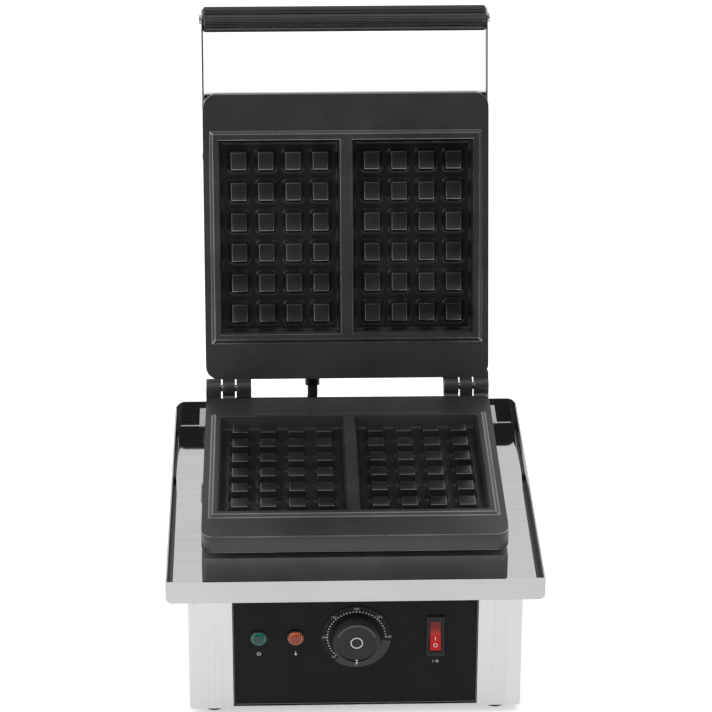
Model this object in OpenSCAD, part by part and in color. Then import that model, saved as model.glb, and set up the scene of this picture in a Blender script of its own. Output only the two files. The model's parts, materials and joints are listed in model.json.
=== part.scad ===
// Two-bed waffle maker: a stainless base with a drip tray, two hinged cast plates
// and a lid with a ribbed handle. The lid is drawn open. +X right, +Y back, +Z up.

/* [Cast plates] */
// Width of each cast plate
plate_w = 252; // [246:1:258]
// Depth of each cast plate, front to back
plate_d = 254; // [246:1:264]
// Thickness of a plate's flange
plate_t = 15; // [13:0.5:17]
// Corner radius of a plate
plate_r = 12; // [6:1:16]
// Height of the raised rim above the flange
rim_h = 2.2; // [1.8:0.1:3]
// Sideways slope of the rim's outer wall
rim_slope = 3; // [1:0.1:4]
// Distance from a plate's side edge to the rim's top
rim_side = 8.7; // [7:0.1:11]
// Distance from a plate's front and back edges to the rim's top
rim_end = 35.5; // [30:0.5:40]
// Width of the rim's top
rim_w = 5.2; // [4:0.1:6]
// Width of the wall between the two waffle beds
divider_w = 11; // [8:0.5:14]
// Depth of a bed below the rim's top
bed_depth = 12.4; // [11:0.2:13.4]
// Slope of bed walls and teeth, sideways per bed depth
bed_draft = 1.5; // [1:0.1:2]
// Tooth columns in one bed
tooth_cols = 4; // [3:1:4]
// Tooth rows in one bed
tooth_rows = 6; // [4:1:6]
// Width of a tooth's top
tooth_w = 13.5; // [11:0.5:14.5]
// Length of a tooth's top
tooth_l = 15.5; // [12:0.5:17]
// Gap from the bed's side wall to the first tooth, at the top
tooth_side_gap = 10.4; // [9:0.1:12]
// Gap from the bed's end wall to the first tooth, at the top
tooth_end_gap = 10.8; // [9:0.1:13]
// Depth of the tooth tops below the rim's top
tooth_drop = 2.2; // [1.6:0.1:4]
// Height of the thick back of a plate, behind the flange
body_h = 9.5; // [8.5:0.5:11]
// Inset of the plate's thick back from its edges
body_inset = 16; // [14:0.5:18]
// Gap between the two rims when the lid is closed
parting_gap = 1; // [0.6:0.1:1.6]

/* [Hinges] */
// Distance of the hinge axis behind the plates
hinge_back = 8; // [7.8:0.1:9]
// Height of the hinge axis above the plane where the rims meet
axis_rise = 3.4; // [2.6:0.1:4]
// Radius of the hinge knuckles
knuckle_r = 7.4; // [6.6:0.1:7.5]
// Width of the outer and inner knuckles of a hinge
knuckle_w = 13.2; // [11:0.1:14]
// Width of the middle knuckle
knuckle_mid_w = 11; // [9:0.1:13]
// Slit between neighbouring knuckles
knuckle_gap = 1.4; // [1:0.1:2.4]
// Drop of a knuckle's web below the flange's top
lug_drop = 12; // [8:1:12]
// Radius of the hinge pins
pin_r = 3; // [2.5:0.1:3.6]
// Radial clearance of a pin in the fixed knuckles
pin_fit = 0.02; // [0.01:0.01:0.05]
// Radial clearance of a pin in the turning knuckles
pin_run = 0.06; // [0.03:0.01:0.1]
// Opening angle of the lid
open_angle = 106.5; // [95:0.5:110]

/* [Lid] */
// Height of the lid's cover above the plate
cover_h = 25; // [24:0.5:32]
// Inset of the cover from the plate's side edges
cover_side = 1; // [0.5:0.1:2]
// Inset of the cover from the plate's front edge
cover_front = 1; // [0.5:0.1:3]
// Inset of the cover from the plate's back edge
cover_back = 2; // [1:0.5:4]
// Thickness of the cover's sheet
cover_t = 1; // [0.8:0.1:1.5]
// Height of a handle arm
arm_h = 18; // [14:1:22]
// Thickness of a handle arm
arm_t = 1.5; // [1.2:0.1:2]
// Length of an arm along the cover's side
arm_lap = 74; // [50:1:90]
// Distance from the plate's front edge to the grip's axis
handle_reach = 64; // [50:1:80]
// Radius of the grip
grip_r = 11.3; // [9:0.1:12.5]
// Number of flutes along the grip
grip_flutes = 26; // [12:1:30]
// Radius of one flute
flute_r = 0.9; // [0.6:0.1:1]
// Radius of the rod inside the grip
rod_r = 4; // [3:0.1:5]

/* [Tray] */
// Distance from the plate's side edge to the tray's side
tray_side_gap = 29.5; // [26:0.5:36]
// Distance from the plate's front edge to the tray's front
tray_front_gap = 12; // [8:0.5:20]
// Distance from the plate's back edge to the tray's back
tray_back_gap = 54; // [50:1:64]
// Height of the tray's front and side walls above its floor
tray_wall_h = 18.5; // [12:0.5:22]
// Height of the tray's back wall above its floor
tray_back_h = 24.3; // [23:0.1:30]
// Thickness of the tray's sheet
tray_t = 1.2; // [0.8:0.1:1.6]
// Radius of the tray's lower outer edges
tray_r = 5; // [3:0.5:7]
// Radius of the back wall's top corners
tray_back_r = 9; // [5:1:12]

/* [Plate stand] */
// Setback of the stand's front and back from the plate's edges
stand_set = 8; // [5:0.5:12]
// Height of the stand above the tray's floor
stand_h = 29.3; // [26:0.1:36]
// Thickness of the stand's sheet
stand_t = 1.2; // [0.8:0.1:1.6]
// Width of the stand's top flange
stand_flange = 31; // [28:1:34]
// Width of the stand's foot flange
stand_foot = 12; // [10:1:16]
// Reach of the rear bracket's tabs beside the plate
bracket_side = 6; // [4:0.5:10]
// Reach of the rear bracket behind the plate
bracket_back = 11; // [9:0.5:14]
// Reach of the bracket's side tabs in front of the plate's back edge
bracket_tab = 24.5; // [20:0.5:30]

/* [Base] */
// Setback of the base's sides under the tray
base_side_set = 17.5; // [14:0.5:20]
// Height of the base's housing
base_h = 104.5; // [96:0.5:120]
// Setback of the base's front under the tray
base_front_set = 5; // [3:0.5:8]
// Setback of the base's back under the tray
base_back_set = 5; // [3:0.5:10]
// Thickness of the base's sheet
base_t = 1.2; // [0.8:0.1:1.6]
// Radius of the base's upright corners
base_r = 3; // [2:0.5:5]
// Width of the base's inner flanges
base_flange = 14; // [12:1:18]
// Width of the columns beside the control panel's opening
column_w = 36.5; // [35:0.5:42]
// Height of the strip below the opening
opening_sill = 2.4; // [2:0.1:4]
// Height of the strip above the opening
opening_head = 3; // [2:0.5:5]
// Thickness of the control panel
panel_t = 2; // [1.5:0.1:3]
// Lap of the control panel behind the base's front
panel_lap = 5; // [3:0.5:8]
// Height of a foot
foot_h = 8; // [6:0.5:12]
// Radius of a foot at the floor
foot_r = 9.5; // [8:0.5:12]
// Inset of the feet from the base's sides
foot_side = 20; // [18:1:30]
// Inset of the feet from the base's front and back
foot_end = 19; // [18:1:40]

/* [Controls] */
// Height of the controls' axis above the base's bottom
control_z = 67.5; // [60:0.5:72]
// Sideways place of the dial
dial_x = 0.8; // [-10:0.1:10]
// Radius of the dial plate
dial_r = 29; // [24:0.5:32]
// Thickness of the dial plate
dial_t = 1; // [0.6:0.1:1.5]
// Radius of the knob
knob_r = 20.3; // [16:0.1:23]
// Height of the knob above the dial plate
knob_h = 10; // [8:0.5:16]
// Gap between the knob and the dial plate
knob_gap = 0.5; // [0.3:0.1:1]
// Radius of the control shaft
shaft_r = 3; // [2.5:0.1:3.5]
// Radial clearance of the shaft in its bushing
shaft_run = 0.06; // [0.03:0.01:0.1]
// Sideways place of the green lamp
green_x = -80; // [-86:0.5:-70]
// Sideways place of the amber lamp
amber_x = -49.5; // [-54:0.5:-46]
// Radius of a lamp's rim
lamp_r = 6.8; // [5.5:0.1:8]
// Width of a lamp's rim
lamp_rim = 1.1; // [0.8:0.1:1.5]
// Height of a lamp's rim above the panel
lamp_rim_h = 1.6; // [1:0.1:2.5]
// Height of a lens above its rim
lens_h = 2.6; // [1.5:0.1:4]
// Sideways place of the switch
switch_x = 66.2; // [62:0.1:76]
// Width of the switch's bezel
bezel_w = 15.2; // [14:0.1:17]
// Height of the switch's bezel
bezel_h = 37.9; // [34:0.1:40]
// Width of the rocker
rocker_w = 9; // [8:0.1:10]
// Radius of the rocker's ends about its pivot
rocker_r = 13.7; // [12:0.1:14.4]
// Tilt of the rocker each way from its middle
rocker_tilt = 9; // [6:0.5:12]

/* [Hidden] */
$fn = 72;
eps = 0.01;
clear = 0.1;             // screws and plugs in their holes
seat = 0.3;              // soft and loose pieces beside what holds them

// Heights
base_z = foot_h;
tray_z = base_z + base_h;
floor_z = tray_z + tray_t;
stand_z = floor_z + stand_h;
plate_z = stand_z + body_h;
flange_z = plate_z + plate_t;
axis_low = parting_gap / 2 + axis_rise;
axis_up = parting_gap / 2 - axis_rise;
hinge_z = flange_z + rim_h + axis_low;
axis_z = base_z + control_z;

// Depths, with the whole object centred on Y
grip_dy = plate_d + hinge_back + handle_reach;
grip_dz = axis_up + rim_h + plate_t + cover_h / 2;
back_reach = -grip_dy * cos(open_angle) + grip_dz * sin(open_angle) + grip_r;
panel_recess = base_t;
knob_out = dial_t + knob_gap + knob_h - panel_recess;
front_reach = hinge_back + plate_d + tray_front_gap - base_front_set + knob_out;
hinge_y = (front_reach - back_reach) / 2;
plate_y = hinge_y - hinge_back;
tray_y0 = plate_y - plate_d - tray_front_gap;
tray_y1 = plate_y + tray_back_gap;
base_y0 = tray_y0 + base_front_set;
base_y1 = tray_y1 - base_back_set;
panel_y = base_y0 + panel_recess;
panel_in_y = panel_y + panel_t;

// Widths of what stands under the plates
stand_w = plate_w;
bracket_w = plate_w + 2 * bracket_side;
tray_w = plate_w + 2 * tray_side_gap;
base_w = tray_w - 2 * base_side_set;
opening_w = base_w - 2 * column_w;

// Waffle beds and teeth
bed_l = plate_d - 2 * rim_end - 2 * rim_w;
bed_w = (plate_w - 2 * rim_side - 2 * rim_w - divider_w) / 2;
bed_x = (divider_w + bed_w) / 2;
pitch_x = (bed_w - 2 * tooth_side_gap - tooth_w) / (tooth_cols - 1);
pitch_y = (bed_l - 2 * tooth_end_gap - tooth_l) / (tooth_rows - 1);

// Knuckle places along one hinge, from its outer end inwards
knuckle_outer = plate_w / 2 - knuckle_w / 2;
knuckle_mid = plate_w / 2 - knuckle_w - knuckle_gap - knuckle_mid_w / 2;
knuckle_inner = plate_w / 2 - 1.5 * knuckle_w - 2 * knuckle_gap - knuckle_mid_w;

// Heating elements and what holds them
tube_r = 4;
tube_side = 56;
tube_x = plate_w / 2 - tube_side;
tube_front = 38;
tube_back = 46;
cold_pin_r = 1.5;
cold_pin_l = 12;
clamp_t = 1.5;
clamp_side_gap = 13.5;
clamp_end = 33;
screw_r = 2.5;
screw_head_r = 4.5;
screw_head_h = 3;
small_r = 2;
small_head_r = 3.5;
small_head_h = 2;
low_head_h = 0.6;
handle_screw_l = 13;
handle_head_r = 4.2;
rod_hole = 14;
small_nut_r = 4;
small_nut_h = 3;
stand_screw_y = 80;
bracket_screw_x = 90;
bracket_foot = 11;
tray_stud_y = 40;
tray_stud_l = 9;
housing_r = 1.75;
housing_l = 8;
clamp_screw_x = 35;
clamp_screw_y = 50;
body_screw_x = plate_w / 2 - body_inset - 7.5;
body_screw_y = plate_d / 2 - 50;
clamp_w = 2 * (body_screw_x - clamp_side_gap);
clamp_l = plate_d - 2 * clamp_end;
body_hole = 7.5;
bulb_r = 3;
bulb_l = 70;
bulb_front = 89;
bulb_y = bulb_front - plate_d;
wire_hole_w = 44;
wire_hole_l = 34;
wire_hole_y = -64;
back_face = -rim_h - plate_t - body_h;

foot_sink = 3;

// Feeds between the lid and the base
lead_r = 4.5;
lead_x = -31;
gland_r = 6.5;
gland_l = 12;
grommet_x = -36;
grommet_dy = 26;
grommet_r = 8;
grommet_h = 5;
inlet_x = 96;
inlet_z = 34;
inlet_r = 10;
inlet_bore = 4.25;
inlet_l = 18;

// Small inner parts
thermostat = [38, 26, 36];
bushing_r = 5;
nut_r = 7.5;
nut_t = 2.5;
block = [46, 18, 16];
block_at = [-36, 14];
stud_at = [20, 20];
stud_r = 2.5;
tab_h = 12;
side_screw_y = 100;
rear_screw_z = 22;
cutout_r = 8;
cutout_h = 9;
cutout_t = 0.8;
cutout_at = [58, -60];

// Places of screws, studs and feet
stand_screw_x = stand_w / 2 - (stand_foot + stand_t) / 2;
bracket_screw_y = plate_y + bracket_back + bracket_foot / 2;
stud_x = base_w / 2 - base_flange / 2;
stud_y = (base_y1 - base_y0) / 2 - tray_stud_y;
base_mid = (base_y0 + base_y1) / 2;
foot_x = base_w / 2 - foot_side;
foot_y = (base_y1 - base_y0) / 2 - foot_end;

// ---------- shared shapes ----------

// Flat rectangle with round corners, centred
module round_rect(w, d, r) {
    square([w - 2 * r, d], center = true);
    square([w, d - 2 * r], center = true);
    for (x = [-1, 1])
        for (y = [-1, 1])
            translate([x * (w / 2 - r), y * (d / 2 - r)])
                circle(r);
}

// Rounded slab between two heights, from one Y to another
module slab(w, y0, y1, z0, z1, r) {
    translate([0, (y0 + y1) / 2, z0])
        linear_extrude(z1 - z0)
            round_rect(w, y1 - y0, r);
}

// Plain block from one corner to the opposite one
module block_between(a, b) {
    translate(a)
        cube(b - a);
}

// Extrudes a profile drawn in (y, z) along X, between two places
module along_x(x0, x1) {
    translate([x0, 0, 0])
        rotate([90, 0, 90])
            linear_extrude(x1 - x0)
                children();
}

// Screw with a round head at z = 0, its shank pointing up
module screw(r, l, head_r, head_h) {
    translate([0, 0, -eps])
        cylinder(r = r, h = l + eps);
    translate([0, 0, -head_h])
        cylinder(r = head_r, h = head_h);
}

// Bolt up through a floor and one more sheet, with its nut
module floor_bolt() {
    screw(small_r, tray_t + stand_t + 5, small_head_r, small_head_h);
    translate([0, 0, tray_t + stand_t])
        cylinder(r = small_nut_r, h = small_nut_h, $fn = 6);
}

// Pan-head screw along +X, its head outside at x <= 0
module side_screw(r, l, head_r, head_h) {
    rotate([0, 90, 0])
        screw(r, l, head_r, head_h);
}

// Puts children at the four mirrored places of (x, y)
module at_four(x, y) {
    for (i = [-1, 1])
        for (j = [-1, 1])
            translate([i * x, j * y, 0])
                children();
}

// Turns what is drawn on the closed lid to the open lid
module lid_open() {
    translate([0, hinge_y, hinge_z])
        rotate([-open_angle, 0, 0])
            translate([0, -hinge_y, -hinge_z])
                children();
}

// Frame of the lower casting: rim top at z = 0, back edge at y = 0
module lower_frame() {
    translate([0, plate_y, hinge_z - axis_low])
        children();
}

// The same casting turned over, on the open lid
module upper_frame() {
    lid_open()
        translate([0, plate_y, hinge_z + axis_up])
            rotate([0, 180, 0])
                children();
}

// Tube through a list of points: 10 sides, one closed polyhedron
function unit(v) = v / norm(v);
function way(p, i) =
    i == 0 ? unit(p[1] - p[0]) :
    i == len(p) - 1 ? unit(p[i] - p[i - 1]) :
    unit(unit(p[i] - p[i - 1]) + unit(p[i + 1] - p[i]));
function side_of(d) = unit(cross(d, [1, 0.2, 0.1]));
function ring(c, d, r, n) =
    let (a = side_of(d), b = cross(d, a))
    [for (k = [0:n - 1]) c + r * (cos(360 * k / n) * a + sin(360 * k / n) * b)];
module tube(points, r, n = 10) {
    m = len(points);
    skin = [for (i = [0:m - 1]) each ring(points[i], way(points, i), r, n)];
    sides = [for (i = [0:m - 2]) for (k = [0:n - 1])
        [i * n + k, (i + 1) * n + k, (i + 1) * n + (k + 1) % n, i * n + (k + 1) % n]];
    ends = [[for (k = [0:n - 1]) k], [for (k = [n - 1:-1:0]) (m - 1) * n + k]];
    polyhedron(points = skin, faces = concat(sides, ends), convexity = 6);
}

// Points of a smooth route through a few hand-set points
function smooth(p, steps) = concat(
    [for (i = [0:len(p) - 2]) for (s = [0:steps - 1])
        let (
            t = s / steps,
            a = p[max(i - 1, 0)],
            b = p[i],
            c = p[i + 1],
            d = p[min(i + 2, len(p) - 1)]
        )
        0.5 * (2 * b + (c - a) * t + (2 * a - 5 * b + 4 * c - d) * t * t
            + (3 * b - a - 3 * c + d) * t * t * t)],
    [p[len(p) - 1]]);

// ---------- castings ----------

// Ridges with sloped flanks: a profile across, extruded along the other way
module ridge_profile(centre, pitch, count, top, z_top, z_low, slope) {
    grow = slope * (z_top - z_low);
    for (i = [0:count - 1])
        translate([centre + (i - (count - 1) / 2) * pitch, 0])
            polygon([
                [-top / 2, z_top], [top / 2, z_top],
                [top / 2 + grow, z_low], [-top / 2 - grow, z_low]
            ]);
}

// One drafted bed, to be cut out of the casting
module bed_cut(cx) {
    slope = bed_draft / bed_depth;
    intersection() {
        translate([0, 1, 0])
            rotate([90, 0, 0])
                linear_extrude(plate_d + 2)
                    polygon([
                        [cx - bed_w / 2 - slope, 1], [cx + bed_w / 2 + slope, 1],
                        [cx + bed_w / 2 - bed_draft, -bed_depth],
                        [cx - bed_w / 2 + bed_draft, -bed_depth]
                    ]);
        along_x(-plate_w, plate_w)
            polygon([
                [-plate_d / 2 - bed_l / 2 - slope, 1], [-plate_d / 2 + bed_l / 2 + slope, 1],
                [-plate_d / 2 + bed_l / 2 - bed_draft, -bed_depth],
                [-plate_d / 2 - bed_l / 2 + bed_draft, -bed_depth]
            ]);
    }
}

// Teeth of one bed: crossed ridges
module teeth(cx) {
    slope = bed_draft / bed_depth;
    intersection() {
        rotate([90, 0, 0])
            linear_extrude(plate_d)
                ridge_profile(cx, pitch_x, tooth_cols, tooth_w, -tooth_drop, -bed_depth - 1, slope);
        along_x(-plate_w, plate_w)
            ridge_profile(-plate_d / 2, pitch_y, tooth_rows, tooth_l, -tooth_drop, -bed_depth - 1, slope);
    }
}

// Where a point beside the hinge axis lies once the lid is open
function opened(y, z) = [
    y * cos(open_angle) + z * sin(open_angle),
    -y * sin(open_angle) + z * cos(open_angle)
];

// One knuckle with its web, centred on x; its heel stops the other plate when open
module knuckle(x, w, axis_h) {
    foot = -rim_h - lug_drop;
    edge_z = parting_gap - axis_h + rim_h;
    heel_in = opened(seat - hinge_back, edge_z);
    heel_out = opened(seat - hinge_back, edge_z + plate_t / 2);
    along_x(x - w / 2, x + w / 2) {
        translate([hinge_back, axis_h])
            polygon([[0, 0], heel_in, heel_out, heel_out - [0, 4], [4, -6]]);
        translate([hinge_back, axis_h])
            circle(knuckle_r);
        polygon([
            [-5, -rim_h - eps], [-5, foot], [2, foot],
            [hinge_back + knuckle_r * cos(35), axis_h - knuckle_r * sin(35)],
            [hinge_back, axis_h],
            [hinge_back - knuckle_r, axis_h],
            [hinge_back - knuckle_r, -rim_h - eps]
        ]);
    }
}

// Path of the heating element under a casting
module element_path(r, tail) {
    bend_y = -plate_d + tube_front + tube_x;
    translate([0, bend_y, back_face])
        rotate([0, 0, 180])
            rotate_extrude(angle = 180)
                translate([tube_x, 0])
                    circle(r);
    for (x = [-tube_x, tube_x])
        translate([x, -tube_back + tail, back_face])
            rotate([90, 0, 0])
                cylinder(r = r, h = -tube_back + tail - bend_y);
}

// Raised rim around the beds, its outer walls sloped
module rim_block() {
    x1 = plate_w / 2 - rim_side;
    y1 = plate_d / 2 - rim_end;
    intersection() {
        rotate([90, 0, 0])
            linear_extrude(plate_d)
                rim_outline(x1);
        translate([0, -plate_d / 2, 0])
            along_x(-plate_w, plate_w)
                rim_outline(y1);
    }
}

module rim_outline(half) {
    polygon([
        [-half, 0], [half, 0], [half + rim_slope, -rim_h], [half + rim_slope, -rim_h - eps],
        [-half - rim_slope, -rim_h - eps], [-half - rim_slope, -rim_h]
    ]);
}

// Casting with its knuckle bores' clearance and the height of the hinge axis over its rim
module casting(fit, axis_h) {
    difference() {
        union() {
            slab(plate_w, -plate_d, 0, -rim_h - plate_t, -rim_h, plate_r);
            rim_block();
            slab(plate_w - 2 * body_inset, -plate_d + body_inset, -body_inset,
                back_face, -rim_h - plate_t + eps, 6);
            knuckle(knuckle_mid, knuckle_mid_w, axis_h);
            knuckle(-knuckle_outer, knuckle_w, axis_h);
            knuckle(-knuckle_inner, knuckle_w, axis_h);
        }
        for (s = [-1, 1])
            bed_cut(s * bed_x);
        translate([-plate_w / 2 - 1, hinge_back, axis_h])
            rotate([0, 90, 0])
                cylinder(r = pin_r + fit, h = plate_w + 2);
        element_path(tube_r + clear, 1);
        for (s = [-1, 1])
            translate([s * tube_x, -tube_back + 1, back_face])
                rotate([-90, 0, 0])
                    cylinder(r = cold_pin_r + 1, h = cold_pin_l + 2);
        translate([0, bulb_y + bulb_l / 2 + clear, back_face])
            rotate([90, 0, 0])
                cylinder(r = bulb_r + clear, h = bulb_l + 2 * clear);
        translate([0, -plate_d / 2, back_face - eps]) {
            at_four(clamp_screw_x, clamp_screw_y)
                cylinder(r = screw_r + clear, h = body_hole);
            at_four(body_screw_x, body_screw_y)
                cylinder(r = screw_r + clear, h = body_hole);
        }
    }
    for (s = [-1, 1])
        teeth(s * bed_x);
}

module lower_plate() {
    color("#2e2e2e")
        lower_frame()
            casting(pin_fit, axis_low);
}

module upper_plate() {
    color("#2e2e2e")
        upper_frame()
            casting(pin_run, axis_up);
}

// ---------- heating ----------

module element() {
    element_path(tube_r, 0);
    for (x = [-tube_x, tube_x])
        translate([x, -tube_back - eps, back_face])
            rotate([-90, 0, 0])
                cylinder(r = cold_pin_r, h = cold_pin_l);
}

module clamp() {
    z0 = back_face - tube_r - clear - clamp_t;
    difference() {
        translate([0, 0, z0])
            linear_extrude(clamp_t)
                translate([0, -plate_d / 2])
                    round_rect(clamp_w, clamp_l, 5);
        translate([0, -plate_d / 2, z0 - 1])
            at_four(clamp_screw_x, clamp_screw_y)
                cylinder(r = screw_r + clear, h = clamp_t + 2);
        block_between(
            [-wire_hole_w / 2, wire_hole_y - wire_hole_l / 2, z0 - 1],
            [wire_hole_w / 2, wire_hole_y + wire_hole_l / 2, z0 + clamp_t + 1]);
    }
}

module clamp_screws() {
    z0 = back_face - tube_r - clear - clamp_t;
    translate([0, -plate_d / 2, z0])
        at_four(clamp_screw_x, clamp_screw_y)
            screw(screw_r, tube_r + clear + clamp_t + body_hole - 1, screw_head_r, screw_head_h);
}

// Soft pad over the clamp, with a way for the leads
module pad(thick, hole_r) {
    z1 = back_face - tube_r - clear - clamp_t - screw_head_h - seat;
    difference() {
        translate([0, 0, z1 - thick])
            linear_extrude(thick)
                translate([0, -plate_d / 2])
                    round_rect(clamp_w, clamp_l, 5);
        block_between(
            [-wire_hole_w / 2, wire_hole_y - wire_hole_l / 2, z1 - thick - 1],
            [wire_hole_w / 2, wire_hole_y + wire_hole_l / 2, z1 + 1]);
        if (hole_r > 0)
            translate([cutout_at[0], cutout_at[1], z1 - thick - 1])
                cylinder(r = hole_r, h = thick + 2);
    }
}

lower_pad_t = stand_h - tube_r - clear - clamp_t - screw_head_h - seat;
upper_pad_t = cover_h - cover_t - body_h - tube_r - clear - clamp_t - screw_head_h - seat;

module lower_element() {
    color("#8a8a88")
        lower_frame()
            element();
}

module upper_element() {
    color("#8a8a88")
        upper_frame()
            element();
}

module lower_clamp() {
    color("#b9bcbe")
        lower_frame()
            clamp();
}

module upper_clamp() {
    color("#b9bcbe")
        upper_frame()
            clamp();
}

module lower_clamp_screws() {
    color("#9a9a9a")
        lower_frame()
            clamp_screws();
}

module upper_clamp_screws() {
    color("#9a9a9a")
        upper_frame()
            clamp_screws();
}

module lower_insulation() {
    color("#d9d2b8")
        lower_frame()
            pad(lower_pad_t, cutout_r + 1);
}

module upper_insulation() {
    color("#d9d2b8")
        upper_frame()
            pad(upper_pad_t, 0);
}

module lower_plate_screws() {
    color("#9a9a9a")
        translate([0, plate_y - plate_d / 2, stand_z - stand_t])
            at_four(body_screw_x, body_screw_y)
                screw(screw_r, stand_t + body_hole - 1, screw_head_r, screw_head_h);
}

module sensor_bulb() {
    color("#b87333")
        lower_frame()
            translate([0, bulb_y + bulb_l / 2, back_face])
                rotate([90, 0, 0])
                    cylinder(r = bulb_r, h = bulb_l);
}

// Fine copper tube from the bulb, through the tray, to the thermostat
capillary_r = 0.8;
bulb_end = plate_y + bulb_y + bulb_l / 2;
capillary_end = panel_in_y + thermostat[1];
capillary_route = [
    [0, bulb_end, stand_z - 2],
    [0, bulb_end + 12, stand_z - 2],
    [0, bulb_end + 40, stand_z - 2],
    [0, plate_y + wire_hole_y - 6, stand_z - 3],
    [0, plate_y + wire_hole_y, stand_z - 14],
    [0, plate_y + wire_hole_y, floor_z],
    [0, plate_y + wire_hole_y - 4, floor_z - 14],
    [0, plate_y + wire_hole_y - 30, axis_z + 12],
    [0, capillary_end + 40, axis_z + 4],
    [dial_x, capillary_end, axis_z]
];
module capillary() {
    color("#b87333")
        tube(smooth(capillary_route, 4), capillary_r, 8);
}

// Thermal cutout screwed under the clamp, its can in a hole of the pad
module safety_cutout() {
    color("#e8e4da")
        lower_frame()
            translate([cutout_at[0], cutout_at[1], back_face - tube_r - clear - clamp_t]) {
                translate([-cutout_r - 6, -5, -cutout_t])
                    cube([2 * cutout_r + 12, 10, cutout_t]);
                translate([0, 0, -cutout_h])
                    cylinder(r = cutout_r, h = cutout_h);
            }
}

// ---------- stand, bracket and tray ----------

module plate_stand() {
    y0 = plate_y - plate_d + stand_set;
    y1 = plate_y - stand_set;
    color("#5a5a5c")
        difference() {
            slab(stand_w, y0, y1, floor_z, stand_z, 4);
            slab(stand_w - 2 * stand_t, y0 + stand_t, y1 - stand_t,
                floor_z + stand_t, stand_z - stand_t, 3);
            block_between(
                [-stand_w / 2 + stand_foot, y0 + stand_foot, floor_z - 1],
                [stand_w / 2 - stand_foot, y1 - stand_foot, floor_z + stand_t + 1]);
            block_between(
                [-stand_w / 2 + stand_flange, y0 + stand_flange - stand_set, stand_z - stand_t - 1],
                [stand_w / 2 - stand_flange, y1 - stand_flange + stand_set, stand_z + 1]);
            translate([0, plate_y - plate_d / 2, stand_z - stand_t - 1])
                at_four(body_screw_x, body_screw_y)
                    cylinder(r = screw_r + clear, h = stand_t + 2);
            translate([0, plate_y - plate_d / 2, floor_z - 1])
                at_four(stand_screw_x, stand_screw_y)
                    cylinder(r = small_r + clear, h = stand_t + 2);
        }
}

// Screws up through the tray's floor, each with its nut
module stand_screws() {
    color("#9a9a9a")
        translate([0, plate_y - plate_d / 2, tray_z])
            at_four(stand_screw_x, stand_screw_y)
                floor_bolt();
}

// Rear crosspiece: carries the hinge end of the plate
module rear_bracket() {
    yb = plate_y + bracket_back;
    web_w = stand_w - 4;
    inner = plate_w / 2 - body_inset + seat;
    color("#c9ccce")
        difference() {
            union() {
                block_between(
                    [-bracket_w / 2, plate_y - bracket_tab, plate_z - stand_t],
                    [bracket_w / 2, yb, plate_z]);
                block_between([-web_w / 2, yb - stand_t, floor_z], [web_w / 2, yb, plate_z - eps]);
                block_between(
                    [-web_w / 2, yb - eps, floor_z],
                    [web_w / 2, yb + bracket_foot, floor_z + stand_t]);
            }
            block_between(
                [-inner, plate_y - bracket_tab - 1, plate_z - stand_t - 1],
                [inner, plate_y - body_inset + seat, plate_z + 1]);
            for (s = [-1, 1])
                translate([s * bracket_screw_x, bracket_screw_y, floor_z - 1])
                    cylinder(r = small_r + clear, h = stand_t + 2);
        }
}

module bracket_screws() {
    color("#9a9a9a")
        for (s = [-1, 1])
            translate([s * bracket_screw_x, bracket_screw_y, tray_z])
                floor_bolt();
}

// Outline of the tray across its width, with rounded lower edges
module tray_section(w, low, r, top) {
    translate([-w / 2, low + r])
        square([w, top - low - r]);
    translate([-w / 2 + r, low])
        square([w - 2 * r, r + eps]);
    for (s = [-1, 1])
        translate([s * (w / 2 - r), low + r])
            circle(r);
}

// Back wall, higher than the sides, with rounded top corners
module tray_back_wall(y0, y1) {
    top = floor_z + tray_back_h;
    translate([0, y1, 0])
        rotate([90, 0, 0])
            linear_extrude(y1 - y0) {
                translate([-tray_w / 2 + tray_back_r, floor_z])
                    square([tray_w - 2 * tray_back_r, tray_back_h]);
                translate([-tray_w / 2, floor_z])
                    square([tray_w, tray_back_h - tray_back_r]);
                for (s = [-1, 1])
                    translate([s * (tray_w / 2 - tray_back_r), top - tray_back_r])
                        circle(tray_back_r);
            }
}

module drip_tray() {
    rim = floor_z + tray_wall_h;
    ym = plate_y - plate_d / 2;
    color("#cfd2d4")
        difference() {
            union() {
                difference() {
                    translate([0, tray_y1, 0])
                        rotate([90, 0, 0])
                            linear_extrude(tray_y1 - tray_y0)
                                tray_section(tray_w, tray_z, tray_r, rim);
                    translate([0, tray_y1 - tray_t, 0])
                        rotate([90, 0, 0])
                            linear_extrude(tray_y1 - tray_y0 - 2 * tray_t)
                                tray_section(tray_w - 2 * tray_t, floor_z, tray_r - tray_t, rim + 5);
                }
                tray_back_wall(tray_y1 - tray_t, tray_y1);
                translate([0, base_mid, tray_z - tray_stud_l])
                    at_four(stud_x, stud_y)
                        cylinder(r = small_r, h = tray_stud_l + eps);
            }
            block_between(
                [-wire_hole_w / 2, plate_y + wire_hole_y - wire_hole_l / 2, tray_z - 1],
                [wire_hole_w / 2, plate_y + wire_hole_y + wire_hole_l / 2, floor_z + 1]);
            translate([0, ym, tray_z - 1])
                at_four(stand_screw_x, stand_screw_y)
                    cylinder(r = small_r + clear, h = tray_t + 2);
            for (s = [-1, 1])
                translate([s * bracket_screw_x, bracket_screw_y, tray_z - 1])
                    cylinder(r = small_r + clear, h = tray_t + 2);
            translate([grommet_x, hinge_y + grommet_dy, tray_z - 1])
                cylinder(r = grommet_r - 2 + clear, h = tray_t + 2);
        }
}

module tray_nuts() {
    color("#9a9a9a")
        translate([0, base_mid, tray_z - base_t - small_nut_h])
            at_four(stud_x, stud_y)
                difference() {
                    cylinder(r = small_nut_r, h = small_nut_h, $fn = 6);
                    translate([0, 0, -1])
                        cylinder(r = small_r + clear, h = small_nut_h + 2);
                }
}

// ---------- base ----------

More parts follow.
